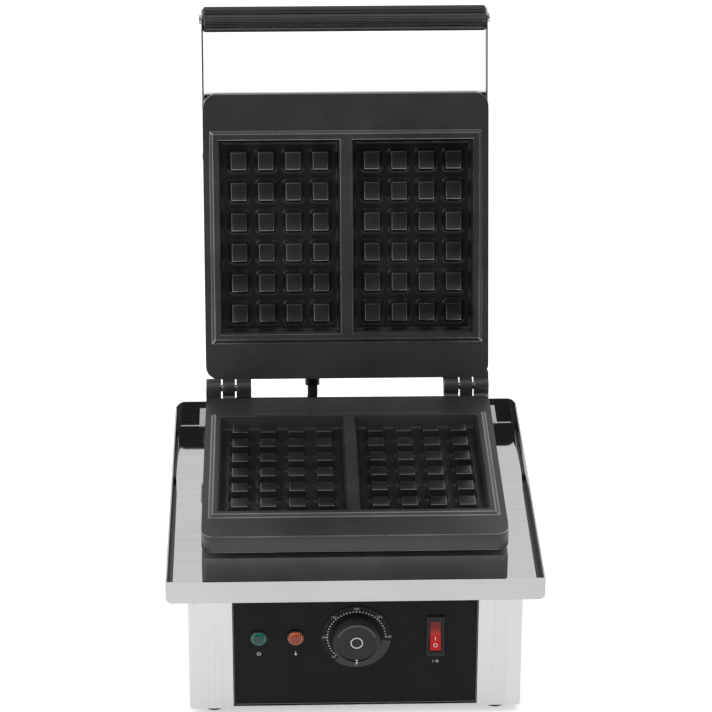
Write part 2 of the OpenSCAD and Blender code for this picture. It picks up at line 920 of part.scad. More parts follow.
// Side vents of the base: a loop of upright slots
vent_count = 9;
vent_pitch = 9;
vent_w = 4;
vent_h = 34;
vent_z = 22;
vent_back = 120;
vent_y = base_y1 - vent_back;
vent_rear_x = -84;

rear_face = base_y1 - base_t;
module base_shell() {
    color("#cfd2d4")
        difference() {
            slab(base_w, base_y0, base_y1, base_z, tray_z, base_r);
            slab(base_w - 2 * base_t, base_y0 + base_t, rear_face - base_t,
                base_z - 1, tray_z - base_t, base_r - base_t);
            block_between(
                [-base_w / 2 + base_t, rear_face, base_z - 1],
                [base_w / 2 - base_t, base_y1 + 1, tray_z - base_t]);
            block_between(
                [-base_w / 2 + base_flange, rear_face - base_t - 1, base_z - 1],
                [base_w / 2 - base_flange, base_y1 + 1, tray_z - base_t]);
            block_between(
                [-base_w / 2 + base_t, rear_face - base_t - 1, base_z - 1],
                [base_w / 2 - base_t, rear_face + 1, base_z + tab_h + 1]);
            housing_holes();
            block_between(
                [-base_w / 2 + base_flange, base_y0 + base_flange, tray_z - base_t - 1],
                [base_w / 2 - base_flange, base_y1 + 1, tray_z + 1]);
            block_between(
                [-opening_w / 2, base_y0 - 1, base_z + opening_sill],
                [opening_w / 2, base_y0 + base_t + 1, tray_z - opening_head]);
            translate([0, base_mid, tray_z - base_t - 1])
                at_four(stud_x, stud_y)
                    cylinder(r = small_r + clear, h = base_t + 2);
            for (i = [0:vent_count - 1])
                translate([0, vent_y + i * vent_pitch, vent_z])
                    block_between([-base_w, 0, 0], [base_w, vent_w, vent_h]);
        }
}

// Places of the housing's side and rear screws, pointing inwards
module at_housing_screws() {
    for (s = [-1, 1]) {
        for (t = [-1, 1])
            translate([s * base_w / 2, base_mid + t * side_screw_y, base_z + tab_h / 2 + base_t])
                rotate([0, -s * 90, 0])
                    children();
        for (z = [base_z + rear_screw_z, tray_z - rear_screw_z])
            translate([s * (base_w / 2 - base_flange / 2), base_y1, z])
                rotate([90, 0, 0])
                    children();
    }
}

module housing_holes() {
    at_housing_screws()
        translate([0, 0, -1])
            cylinder(r = housing_r + clear, h = 2 * base_t + 2);
}

module housing_screws() {
    color("#a8a8a8")
        at_housing_screws()
            screw(housing_r, housing_l, small_head_r, low_head_h);
}

// Tray of sheet: its side tabs stand up inside the base
module bottom_plate() {
    x1 = base_w / 2 - base_t;
    y0 = base_y0 + base_t;
    y1 = rear_face;
    slots = 12;
    slot_pitch = 12;
    slot_w = 4;
    slot_l = 40;
    color("#b9bcbe")
        difference() {
            union() {
                slab(2 * x1, y0, y1, base_z, base_z + base_t, base_r - base_t);
                for (s = [-1, 1])
                    translate([s * (x1 - base_t / 2) - base_t / 2, y0 + panel_t + 4, base_z])
                        cube([base_t, y1 - y0 - panel_t - 8, base_t + tab_h]);
            }
            translate([0, base_mid, base_z - 1])
                at_four(foot_x, foot_y)
                    cylinder(r = small_r + clear, h = base_t + 2);
            for (i = [0:slots - 1])
                translate([(i - (slots - 1) / 2) * slot_pitch, base_mid, base_z + base_t / 2])
                    cube([slot_w, slot_l, base_t + 2], center = true);
            translate([stud_at[0], stud_at[1], base_z - 1])
                cylinder(r = stud_r + clear, h = base_t + 2);
            housing_holes();
        }
}

module rear_panel() {
    x1 = base_w / 2 - base_t - clear;
    slots = 14;
    slot_pitch = 10;
    slot_w = 4;
    slot_h = 28;
    slot_z = 52;
    color("#c4c7c9")
        difference() {
            block_between([-x1, rear_face, base_z + base_t], [x1, base_y1, tray_z - base_t]);
            translate([inlet_x, rear_face - 1, inlet_z])
                rotate([-90, 0, 0])
                    cylinder(r = inlet_r - 3 + clear, h = base_t + 2);
            for (i = [0:slots - 1])
                translate([vent_rear_x + i * slot_pitch, rear_face - 1, base_z + slot_z])
                    cube([slot_w, base_t + 2, slot_h]);
            housing_holes();
        }
}

module foot(sx, sy) {
    color("#1f1f1f")
        translate([sx * foot_x, base_mid + sy * foot_y, 0])
            difference() {
                rotate_extrude()
                    polygon([
                        [0, 0], [foot_r - 0.8, 0], [foot_r, 0.8],
                        [foot_r - 1.2, foot_h - 0.4], [foot_r - 1.6, foot_h], [0, foot_h]
                    ]);
                translate([0, 0, -1])
                    cylinder(r = small_head_r + 1, h = foot_sink + 1);
                cylinder(r = small_r + clear, h = foot_h + 1);
            }
}

module foot_front_left() { foot(-1, -1); }
module foot_front_right() { foot(1, -1); }
module foot_rear_left() { foot(-1, 1); }
module foot_rear_right() { foot(1, 1); }

module foot_screws() {
    color("#9a9a9a")
        translate([0, base_mid, foot_sink])
            at_four(foot_x, foot_y) {
                screw(small_r, foot_h - foot_sink + base_t + 5, small_head_r, small_head_h);
                translate([0, 0, foot_h - foot_sink + base_t])
                    cylinder(r = small_nut_r, h = small_nut_h, $fn = 6);
            }
}

module control_panel() {
    x1 = opening_w / 2 + panel_lap;
    z0 = base_z + base_t;
    z1 = tray_z - base_t - seat;
    color("#26272a")
        difference() {
            block_between([-x1, panel_y, z0], [x1, panel_in_y, z1]);
            for (x = [green_x, amber_x])
                translate([x, panel_y - 1, axis_z])
                    rotate([-90, 0, 0])
                        cylinder(r = lamp_r - lamp_rim + clear, h = panel_t + 2);
            translate([dial_x, panel_y - 1, axis_z])
                rotate([-90, 0, 0])
                    cylinder(r = bushing_r + clear, h = panel_t + 2);
            block_between(
                [switch_x - bezel_w / 2 + 1, panel_y - 1, axis_z - bezel_h / 2 + 1.5],
                [switch_x + bezel_w / 2 - 1, panel_in_y + 1, axis_z + bezel_h / 2 - 1.5]);
            for (s = [-1, 1])
                translate([s * (x1 - 3), panel_y - 1, base_z + 30])
                    rotate([-90, 0, 0])
                        cylinder(r = 1.5 + clear, h = panel_t + 2);
        }
}

// Welded studs behind the base's front, with nuts that hold the control panel
module panel_studs() {
    x1 = opening_w / 2 + panel_lap;
    color("#9a9a9a")
        for (s = [-1, 1])
            translate([s * (x1 - 3), panel_y, base_z + 30])
                rotate([-90, 0, 0]) {
                    cylinder(r = 1.5, h = panel_t + 5);
                    translate([0, 0, panel_t])
                        cylinder(r = 3.2, h = 2.4, $fn = 6);
                }
}

// ---------- controls ----------

module thermostat_body() {
    t = thermostat;
    color("#d8d8d2")
        difference() {
            union() {
                block_between(
                    [dial_x - t[0] / 2, panel_in_y, axis_z - t[2] / 2],
                    [dial_x + t[0] / 2, panel_in_y + t[1], axis_z + t[2] / 2]);
                translate([dial_x, panel_in_y + eps, axis_z])
                    rotate([90, 0, 0])
                        cylinder(r = bushing_r, h = panel_t + nut_t + 1);
            }
            translate([dial_x, panel_y - 10, axis_z])
                rotate([-90, 0, 0])
                    cylinder(r = shaft_r + shaft_run, h = 10 + panel_t + 15);
        }
}

module thermostat_nut() {
    color("#9a9a9a")
        translate([dial_x, panel_y, axis_z])
            rotate([90, 0, 0])
                difference() {
                    cylinder(r = nut_r, h = nut_t, $fn = 6);
                    translate([0, 0, -1])
                        cylinder(r = bushing_r + clear, h = nut_t + 2);
                }
}

shaft_y0 = panel_y - dial_t - knob_gap - knob_h + 3;
module control_shaft() {
    color("#a8a8a8")
        translate([dial_x, shaft_y0, axis_z])
            rotate([-90, 0, 0])
                cylinder(r = shaft_r, h = panel_in_y + 12 - shaft_y0);
}

module dial_plate() {
    color("#3a3b3e")
        translate([dial_x, panel_y, axis_z])
            rotate([90, 0, 0])
                difference() {
                    cylinder(r = dial_r, h = dial_t);
                    translate([0, 0, -1])
                        cylinder(r = nut_r + 1.5, h = dial_t + 2);
                }
}

// Domed cap with a hollow back around its boss
module knob() {
    back = dial_t + knob_gap;
    color("#2a2b2d")
        translate([dial_x, panel_y, axis_z])
            rotate([90, 0, 0])
                difference() {
                    rotate_extrude()
                        polygon([
                            [0, back], [knob_r, back], [knob_r, back + knob_h - 3],
                            [knob_r - 0.7, back + knob_h - 1], [knob_r - 2.4, back + knob_h],
                            [knob_r - 4.2, back + knob_h - 0.8], [0, back + knob_h - 0.8]
                        ]);
                    difference() {
                        translate([0, 0, back - 1])
                            cylinder(r = knob_r - 2, h = 1 + nut_t + 1.5);
                        translate([0, 0, back + nut_t - dial_t + 1])
                            cylinder(r = 6, h = knob_h);
                    }
                    cylinder(r = shaft_r + 0.03, h = back + knob_h - 3);
                }
}

module lamp_body(x) {
    translate([x, panel_y, axis_z])
        rotate([90, 0, 0])
            difference() {
                union() {
                    cylinder(r = lamp_r, h = lamp_rim_h);
                    translate([0, 0, -20])
                        cylinder(r = lamp_r - lamp_rim, h = 20 + eps);
                    for (s = [-1, 1])
                        translate([s * 3 - 0.4, -2, -28])
                            cube([0.8, 4, 8 + eps]);
                }
                translate([0, 0, -6])
                    cylinder(r = lamp_r - lamp_rim - 0.5, h = 20);
            }
}

// Domed lens that plugs into the lamp's barrel
module lens(x) {
    r = lamp_r - lamp_rim - 0.5 - clear;
    dome = (r * r + lens_h * lens_h) / (2 * lens_h);
    translate([x, panel_y, axis_z])
        rotate([90, 0, 0]) {
            translate([0, 0, -6 + clear])
                cylinder(r = r, h = 6 - clear + lamp_rim_h);
            intersection() {
                translate([0, 0, lamp_rim_h + lens_h - dome])
                    sphere(dome);
                translate([0, 0, lamp_rim_h - eps])
                    cylinder(r = r, h = lens_h + 1);
            }
        }
}

module green_lamp_body() {
    color("#c8cacc")
        lamp_body(green_x);
}

module green_lens() {
    color("#1f8a72")
        lens(green_x);
}

module amber_lamp_body() {
    color("#c8cacc")
        lamp_body(amber_x);
}

module amber_lens() {
    color("#d07a2a")
        lens(amber_x);
}

// Switch: the pivot lies behind the panel's face
pivot_in = 2.5;
pocket_w = rocker_w + 2 * seat;
pocket_h = 2 * rocker_r + 2 * seat;
pocket_d = 8;
bezel_t = 2;
trunnion_r = 1.5;
trunnion_l = 1.2;
module switch_body() {
    color("#1c1c1e")
        difference() {
            union() {
                block_between(
                    [switch_x - bezel_w / 2, panel_y - bezel_t, axis_z - bezel_h / 2],
                    [switch_x + bezel_w / 2, panel_y, axis_z + bezel_h / 2]);
                block_between(
                    [switch_x - bezel_w / 2 + 1 + clear, panel_y - eps, axis_z - bezel_h / 2 + 1.6],
                    [switch_x + bezel_w / 2 - 1 - clear, panel_y + 22, axis_z + bezel_h / 2 - 1.6]);
                for (z = [-10, 0, 10])
                    block_between(
                        [switch_x - 3, panel_y + 22 - eps, axis_z + z - 0.4],
                        [switch_x + 3, panel_y + 31, axis_z + z + 0.4]);
            }
            block_between(
                [switch_x - pocket_w / 2, panel_y - bezel_t - 1, axis_z - pocket_h / 2],
                [switch_x + pocket_w / 2, panel_y + pocket_d, axis_z + pocket_h / 2]);
            translate([switch_x - rocker_w / 2 - trunnion_l - seat, panel_y + pivot_in, axis_z])
                rotate([0, 90, 0])
                    cylinder(r = trunnion_r + shaft_run, h = rocker_w + 2 * (trunnion_l + seat));
        }
}

// Rocker with two faces that meet in a shallow valley; its top is pressed in
module switch_rocker() {
    out = 5.6;
    valley = out - rocker_r * tan(rocker_tilt);
    color("#c22320")
        translate([switch_x, panel_y + pivot_in, axis_z])
            rotate([-rocker_tilt, 0, 0]) {
                along_x(-rocker_w / 2, rocker_w / 2)
                    intersection() {
                        circle(rocker_r);
                        polygon([
                            [1.5, -rocker_r - 1], [1.5, rocker_r + 1],
                            [-out, rocker_r + 1], [-valley, 0], [-out, -rocker_r - 1]
                        ]);
                    }
                translate([-rocker_w / 2 - trunnion_l, 0, 0])
                    rotate([0, 90, 0])
                        cylinder(r = trunnion_r, h = rocker_w + 2 * trunnion_l);
            }
}

module terminal_block() {
    b = block;
    color("#e6e2d6")
        translate([block_at[0], block_at[1], base_z + base_t])
            difference() {
                block_between([-b[0] / 2, -b[1] / 2, 0], [b[0] / 2, b[1] / 2, b[2]]);
                for (i = [-1.5:1:1.5])
                    translate([i * 11, 0, b[2] - 6])
                        cylinder(r = 2.4, h = 7);
            }
}

module earth_stud() {
    color("#b0a060")
        translate([stud_at[0], stud_at[1], base_z - 1]) {
            cylinder(r = stud_r, h = 16);
            translate([0, 0, 1 + base_t])
                cylinder(r = 4.6, h = 4, $fn = 6);
        }
}

module cord_inlet() {
    color("#1c1c1e")
        translate([inlet_x, base_y1, inlet_z])
            rotate([-90, 0, 0])
                difference() {
                    union() {
                        translate([0, 0, -base_t - 6])
                            cylinder(r = inlet_r - 3, h = base_t + 7);
                        cylinder(r = inlet_r, h = 4);
                        cylinder(r1 = inlet_r - 1.5, r2 = inlet_r - 3, h = inlet_l - base_t - 6);
                    }
                    translate([0, 0, -base_t - 7])
                        cylinder(r = inlet_bore, h = inlet_l + 4);
                }
}

// ---------- lid ----------

cover_z0 = hinge_z + axis_up + rim_h + plate_t;
cover_z1 = cover_z0 + cover_h;
cover_y0 = plate_y - plate_d + cover_front;
cover_y1 = plate_y - cover_back;
cover_w = plate_w - 2 * cover_side;
arm_z = cover_z0 + cover_h / 2;
grip_y = plate_y - plate_d - handle_reach;
arm_screw_y = [12, 56];

module lid_cover() {
    color("#cfd2d4")
        lid_open()
            difference() {
                slab(cover_w, cover_y0, cover_y1, cover_z0, cover_z1, 2);
                slab(cover_w - 2 * cover_t, cover_y0 + cover_t, cover_y1 - cover_t,
                    cover_z0 - 1, cover_z1 - cover_t, 1);
                translate([0, plate_y - plate_d / 2, cover_z1 - cover_t - 1])
                    at_four(body_screw_x, body_screw_y)
                        cylinder(r = small_r + clear, h = cover_t + 2);
                translate([lead_x, cover_y1 - cover_t - 1, arm_z])
                    rotate([-90, 0, 0])
                        cylinder(r = gland_r - 1.5 + clear, h = cover_t + 2);
                for (y = arm_screw_y)
                    translate([-cover_w, cover_y0 + y, arm_z])
                        rotate([0, 90, 0])
                            cylinder(r = small_r + clear, h = 2 * cover_w);
            }
}

// Posts from the casting's back to the cover's top
module cover_posts() {
    post_l = cover_h - cover_t - body_h;
    color("#9a9a9a")
        lid_open()
            translate([0, plate_y - plate_d / 2, cover_z0 + body_h])
                at_four(body_screw_x, body_screw_y)
                    difference() {
                        union() {
                            cylinder(r = 4.6, h = post_l, $fn = 6);
                            translate([0, 0, -body_hole + 1])
                                cylinder(r = screw_r, h = body_hole);
                        }
                        translate([0, 0, post_l - 9])
                            cylinder(r = small_r + clear, h = 10);
                    }
}

module cover_screws() {
    color("#a8a8a8")
        lid_open()
            translate([0, plate_y - plate_d / 2, cover_z1])
                at_four(body_screw_x, body_screw_y)
                    mirror([0, 0, 1])
                        screw(small_r, 8, 4, 1.8);
}

module arm(s) {
    x0 = cover_w / 2;
    color("#c4c7c9")
        lid_open()
            difference() {
                along_x(s > 0 ? x0 : -x0 - arm_t, s > 0 ? x0 + arm_t : -x0) {
                    translate([grip_y, arm_z - arm_h / 2])
                        square([cover_y0 + arm_lap - arm_h / 2 - grip_y, arm_h]);
                    translate([grip_y, arm_z])
                        circle(arm_h / 2);
                    translate([cover_y0 + arm_lap - arm_h / 2, arm_z])
                        circle(arm_h / 2);
                }
                for (y = concat([grip_y], [for (a = arm_screw_y) cover_y0 + a]))
                    translate([-cover_w, y, arm_z])
                        rotate([0, 90, 0])
                            cylinder(r = small_r + clear, h = 2 * cover_w);
            }
}

module arm_left() { arm(-1); }
module arm_right() { arm(1); }

// Bolt inwards through an arm and the cover's side
module arm_bolt() {
    side_screw(small_r, arm_t + cover_t + 5, small_head_r, low_head_h);
    translate([arm_t + cover_t, 0, 0])
        rotate([0, 90, 0])
            cylinder(r = small_nut_r, h = small_nut_h, $fn = 6);
}

module arm_screws() {
    x0 = cover_w / 2 + arm_t;
    color("#a8a8a8")
        lid_open()
            for (y = arm_screw_y) {
                translate([-x0, cover_y0 + y, arm_z])
                    arm_bolt();
                translate([x0, cover_y0 + y, arm_z])
                    mirror([1, 0, 0])
                        arm_bolt();
            }
}

module handle_grip() {
    color("#1d1d1e")
        lid_open()
            translate([-cover_w / 2, grip_y, arm_z])
                rotate([0, 90, 0])
                    difference() {
                        cylinder(r = grip_r, h = cover_w);
                        for (i = [0:grip_flutes - 1])
                            rotate([0, 0, i * 360 / grip_flutes])
                                translate([grip_r + 0.3, 0, 3])
                                    cylinder(r = flute_r, h = cover_w - 6);
                        translate([0, 0, -1])
                            cylinder(r = rod_r + clear, h = cover_w + 2);
                    }
}

module handle_rod() {
    color("#a8a8a8")
        lid_open()
            translate([-cover_w / 2, grip_y, arm_z])
                rotate([0, 90, 0])
                    difference() {
                        cylinder(r = rod_r, h = cover_w);
                        for (z = [-1, cover_w - rod_hole])
                            translate([0, 0, z])
                                cylinder(r = small_r + clear, h = rod_hole + 1);
                    }
}

module handle_screws() {
    x0 = cover_w / 2 + arm_t;
    color("#a8a8a8")
        lid_open() {
            translate([-x0, grip_y, arm_z])
                side_screw(small_r, handle_screw_l, handle_head_r, small_head_h);
            translate([x0, grip_y, arm_z])
                mirror([1, 0, 0])
                    side_screw(small_r, handle_screw_l, handle_head_r, small_head_h);
        }
}

// ---------- hinge pins ----------

// Plain pin through the three knuckles of one hinge, a little short of both ends
module hinge_pin(s) {
    inner = knuckle_inner - knuckle_w / 2 + seat;
    outer = plate_w / 2 - seat;
    color("#8d8f91")
        translate([s * inner, hinge_y, hinge_z])
            rotate([0, s * 90, 0])
                cylinder(r = pin_r, h = outer - inner);
}

module hinge_pin_left() { hinge_pin(-1); }
module hinge_pin_right() { hinge_pin(1); }

// ---------- leads ----------

module lid_gland() {
    color("#1c1c1e")
        lid_open()
            translate([lead_x, cover_y1, arm_z])
                rotate([-90, 0, 0])
                    difference() {
                        union() {
                            translate([0, 0, -cover_t - 5])
                                cylinder(r = gland_r - 1.5, h = cover_t + 6);
                            cylinder(r = gland_r, h = gland_l);
                        }
                        translate([0, 0, -cover_t - 6])
                            cylinder(r = lead_r + clear, h = gland_l + 20);
                    }
}

module tray_grommet() {
    color("#1c1c1e")
        translate([grommet_x, hinge_y + grommet_dy, tray_z])
            difference() {
                union() {
                    translate([0, 0, tray_t])
                        cylinder(r = grommet_r, h = grommet_h);
                    cylinder(r = grommet_r - 2, h = tray_t + eps);
                    translate([0, 0, -2])
                        cylinder(r = grommet_r, h = 2);
                }
                translate([0, 0, -3])
                    cylinder(r = lead_r + 0.5, h = grommet_h + 10);
            }
}

// Sheathed lead: leaves the lid's gland, runs down through the tray into the base
gland_mouth_dy = -hinge_back - cover_back + gland_l;
gland_y = hinge_y + gland_mouth_dy * cos(open_angle) + grip_dz * sin(open_angle);
gland_z = hinge_z - gland_mouth_dy * sin(open_angle) + grip_dz * cos(open_angle);
lead_way = [0, cos(open_angle), -sin(open_angle)];
lead_route = [
    [lead_x, gland_y, gland_z] - 16 * lead_way,
    [lead_x, gland_y, gland_z] - lead_way,
    [lead_x, gland_y, gland_z] + 9 * lead_way,
    [lead_x - 2, gland_y - 3, gland_z - 24],
    [grommet_x, hinge_y + grommet_dy, floor_z + 16],
    [grommet_x, hinge_y + grommet_dy, floor_z],
    [grommet_x, hinge_y + grommet_dy - 2, floor_z - 20],
    [grommet_x, hinge_y + grommet_dy - 18, floor_z - 52],
    [grommet_x, hinge_y + grommet_dy - 44, floor_z - 76],
    [grommet_x, block_at[1] + block[1] / 2 + 12, base_z + base_t + 10],
    [grommet_x, block_at[1] + block[1] / 2, base_z + base_t + 8]
];
module lid_lead() {
    color("#1c1c1e")
        tube(smooth(lead_route, 3), lead_r, 12);
}

base_shell();
bottom_plate();
rear_panel();
control_panel();
foot_front_left();
foot_front_right();
foot_rear_left();
foot_rear_right();
foot_screws();
drip_tray();
tray_nuts();
plate_stand();
stand_screws();
rear_bracket();
bracket_screws();
lower_plate();
lower_plate_screws();
lower_element();
lower_clamp();
lower_clamp_screws();
lower_insulation();
sensor_bulb();
capillary();
safety_cutout();
upper_plate();
upper_element();
upper_clamp();
upper_clamp_screws();
upper_insulation();
cover_posts();
lid_cover();
cover_screws();
arm_left();
arm_right();
arm_screws();
handle_grip();
handle_rod();
handle_screws();
hinge_pin_left();
hinge_pin_right();
lid_gland();
tray_grommet();
lid_lead();
cord_inlet();
thermostat_body();
thermostat_nut();
control_shaft();
dial_plate();
knob();
green_lamp_body();
green_lens();
amber_lamp_body();
amber_lens();
switch_body();
switch_rocker();
terminal_block();
earth_stud();
panel_studs();
housing_screws();
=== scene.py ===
import json
from math import atan2, cos, hypot, pi, radians, sin, sqrt

import bmesh
import bpy
from mathutils import Matrix, Vector


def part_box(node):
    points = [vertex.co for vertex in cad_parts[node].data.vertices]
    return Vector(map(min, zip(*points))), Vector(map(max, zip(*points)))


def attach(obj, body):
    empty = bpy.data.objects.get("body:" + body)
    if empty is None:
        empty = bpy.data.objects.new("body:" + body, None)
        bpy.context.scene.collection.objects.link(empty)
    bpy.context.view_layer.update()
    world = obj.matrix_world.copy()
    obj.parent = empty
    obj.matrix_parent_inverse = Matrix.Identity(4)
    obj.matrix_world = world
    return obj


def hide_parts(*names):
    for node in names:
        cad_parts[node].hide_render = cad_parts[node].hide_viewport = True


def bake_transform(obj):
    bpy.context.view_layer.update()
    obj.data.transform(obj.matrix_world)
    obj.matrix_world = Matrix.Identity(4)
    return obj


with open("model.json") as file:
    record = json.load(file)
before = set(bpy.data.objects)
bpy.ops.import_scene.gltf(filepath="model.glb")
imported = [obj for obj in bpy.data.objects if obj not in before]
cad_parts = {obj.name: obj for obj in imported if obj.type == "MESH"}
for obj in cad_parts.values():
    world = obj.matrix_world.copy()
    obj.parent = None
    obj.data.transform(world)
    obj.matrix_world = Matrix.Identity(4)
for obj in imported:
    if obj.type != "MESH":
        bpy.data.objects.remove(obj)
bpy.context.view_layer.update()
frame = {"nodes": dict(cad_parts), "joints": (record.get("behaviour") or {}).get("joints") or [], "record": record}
nodes = frame["nodes"]
joints = {joint["name"]: joint for joint in frame["joints"]}
hinge = Vector(joints["lid_hinge"]["pos_m"])
openAngle = radians(joints["lid_hinge"]["range_deg"][1])
print("frame loaded,", len(nodes), "nodes")

casting = {  # each plate in its own frame, with y from 0 at the hinge side to -depth at the front
    "hingeBack": 0.008, "axisLow": 0.0039, "axisUp": -0.0029, "depth": 0.254,
    "bedX": 0.0588, "bedW": 0.1066, "bedL": 0.1726, "bedDepth": 0.0124, "draft": 0.0015,
    "pitchX": 0.0241, "pitchY": 0.0271, "cols": 4, "rows": 6,
    "toothHalfX": 0.00798, "toothHalfY": 0.00898,
    "bedEdge": 0.0001, "bedLowest": -0.02, "webX": 0.11, "webY": (-0.0135, 0.0012),
}
plateY = hinge.y - casting["hingeBack"]


def newMaterial(name):
    mat = bpy.data.materials.new(name)
    mat.use_nodes = True
    tree = mat.node_tree
    return mat, tree, tree.nodes["Principled BSDF"]


def addNode(tree, kind, **sockets):
    node = tree.nodes.new(kind)
    for key, value in sockets.items():
        if key in node.inputs:
            node.inputs[key].default_value = value
        else:
            setattr(node, key, value)
    return node


def objectPoint(tree, scale=(1, 1, 1)):  # object coordinates in metres, stretched
    coord = tree.nodes.new("ShaderNodeTexCoord")
    mapping = tree.nodes.new("ShaderNodeMapping")
    mapping.inputs["Scale"].default_value = scale
    tree.links.new(coord.outputs["Object"], mapping.inputs["Vector"])
    return mapping.outputs["Vector"]


def noise(tree, point, scale, detail=3.0, roughness=0.5):
    node = addNode(tree, "ShaderNodeTexNoise", Scale=scale, Detail=detail, Roughness=roughness)
    tree.links.new(point, node.inputs["Vector"])
    return node.outputs["Fac"]


def between(tree, factor, low, high, start=0.3, end=0.7):  # a number that follows a pattern
    node = tree.nodes.new("ShaderNodeMapRange")
    node.inputs["From Min"].default_value = start
    node.inputs["From Max"].default_value = end
    node.inputs["To Min"].default_value = low
    node.inputs["To Max"].default_value = high
    tree.links.new(factor, node.inputs["Value"])
    return node.outputs["Result"]


def tint(tree, factor, low, high, start=0.3, end=0.7):  # a colour that follows a pattern
    ramp = tree.nodes.new("ShaderNodeValToRGB")
    ramp.color_ramp.elements[0].position = start
    ramp.color_ramp.elements[0].color = (*low, 1)
    ramp.color_ramp.elements[1].position = end
    ramp.color_ramp.elements[1].color = (*high, 1)
    tree.links.new(factor, ramp.inputs["Fac"])
    return ramp.outputs["Color"]


def bump(tree, shader, height, strength, distance):
    node = tree.nodes.new("ShaderNodeBump")
    node.inputs["Strength"].default_value = strength
    node.inputs["Distance"].default_value = distance
    tree.links.new(height, node.inputs["Height"])
    tree.links.new(node.outputs["Normal"], shader.inputs["Normal"])


def grey(level):
    return (level, level, level)


# streaks and clouds per metre, depth of the streaks, and the share of the pattern that the tones cover
rolled = {"along": 6, "across": 400, "cloud": 9.0, "depth": 0.0002, "spread": (0.1, 0.9)}


def satinSteel(name, along, settings):  # rolled sheet, faint streaks along one way
    mat, tree, shader = newMaterial(name)
    stretch = [rolled["along"] if axis == along else rolled["across"] for axis in "xyz"]
    streak = noise(tree, objectPoint(tree, stretch), 1.0, 4.0, 0.6)
    cloud = noise(tree, objectPoint(tree), rolled["cloud"])
    mix = addNode(tree, "ShaderNodeMath", operation="ADD")
    tree.links.new(between(tree, streak, 0.0, 0.5), mix.inputs[0])
    tree.links.new(between(tree, cloud, 0.0, 0.5), mix.inputs[1])
    pattern = mix.outputs[0]
    tree.links.new(tint(tree, pattern, *settings["tone"], *rolled["spread"]), shader.inputs["Base Color"])
    tree.links.new(between(tree, pattern, *settings["gloss"], *rolled["spread"]), shader.inputs["Roughness"])
    shader.inputs["Metallic"].default_value = 1.0
    bump(tree, shader, streak, settings["bump"], rolled["depth"])
    return mat


castSkin = {"grain": 900.0, "cloud": 14.0, "bump": 0.35, "depth": 0.0003}


def coatedIron(name, settings):  # non-stick coating over a cast surface, paler where it wears
    mat, tree, shader = newMaterial(name)
    point = objectPoint(tree)
    grain = noise(tree, point, castSkin["grain"], 3.0, 0.6)
    cloud = noise(tree, point, castSkin["cloud"], 4.0, 0.55)
    colour = tint(tree, cloud, grey(settings["dark"]), grey(settings["pale"]))
    tree.links.new(colour, shader.inputs["Base Color"])
    tree.links.new(between(tree, cloud, *settings["gloss"]), shader.inputs["Roughness"])
    shader.inputs["Specular IOR Level"].default_value = settings["shine"]
    shader.inputs["Metallic"].default_value = settings["metal"]
    bump(tree, shader, grain, castSkin["bump"], castSkin["depth"])
    return mat


# an even finish with faint clouds, and a fine grain where one is given
def plainCoat(name, low, high, gloss, cloudy, grain=0.0, shine=0.5, metal=0.0, rough=0.2):
    mat, tree, shader = newMaterial(name)
    point = objectPoint(tree)
    cloud = noise(tree, point, cloudy, 4.0)
    tree.links.new(tint(tree, cloud, low, high), shader.inputs["Base Color"])
    tree.links.new(between(tree, cloud, *gloss), shader.inputs["Roughness"])
    shader.inputs["Specular IOR Level"].default_value = shine
    shader.inputs["Metallic"].default_value = metal
    if grain:
        bump(tree, shader, noise(tree, point, grain, 2.0), rough, 0.0002)
    return mat


prisms = {"perMetre": 560.0, "uneven": 0.2, "glow": 0.2, "bump": 0.4, "depth": 0.0004}


def lensPlastic(name, deep, lit):  # coloured plastic with small prisms over a faint inner light
    mat, tree, shader = newMaterial(name)
    cells = addNode(tree, "ShaderNodeTexVoronoi", Scale=prisms["perMetre"], Randomness=prisms["uneven"])
    tree.links.new(objectPoint(tree), cells.inputs["Vector"])
    colour = tint(tree, cells.outputs["Distance"], lit, deep, 0.05, 0.55)
    tree.links.new(colour, shader.inputs["Base Color"])
    tree.links.new(colour, shader.inputs["Emission Color"])
    tree.links.new(between(tree, cells.outputs["Distance"], 0.1, 0.25), shader.inputs["Roughness"])
    shader.inputs["Emission Strength"].default_value = prisms["glow"]
    shader.inputs["Specular IOR Level"].default_value = 0.3
    shader.inputs["Coat Weight"].default_value = 0.25
    shader.inputs["Coat Roughness"].default_value = 0.05
    bump(tree, shader, cells.outputs["Distance"], prisms["bump"], prisms["depth"])
    return mat


# painted shade: deep is the dark red painted over the rocker's top in the bezel's shade, lit is the red below it
rockerShadeLook = {"deep": (0.16, 0.002, 0.003), "lit": (0.5, 0.02, 0.017), "heights": (0.0765, 0.0835)}


def rockerPlastic():  # red plastic with painted shade: darker towards its top, where the bezel shades it
    mat, tree, shader = newMaterial("rockerRed")
    split = tree.nodes.new("ShaderNodeSeparateXYZ")
    tree.links.new(objectPoint(tree), split.inputs[0])
    low = between(tree, split.outputs["Z"], 1.0, 0.0, *rockerShadeLook["heights"])
    colour = tint(tree, low, rockerShadeLook["deep"], rockerShadeLook["lit"], 0.0, 1.0)
    tree.links.new(colour, shader.inputs["Base Color"])
    cloud = noise(tree, objectPoint(tree), 200.0)
    tree.links.new(between(tree, cloud, 0.2, 0.32), shader.inputs["Roughness"])
    shader.inputs["Specular IOR Level"].default_value = 0.3
    return mat


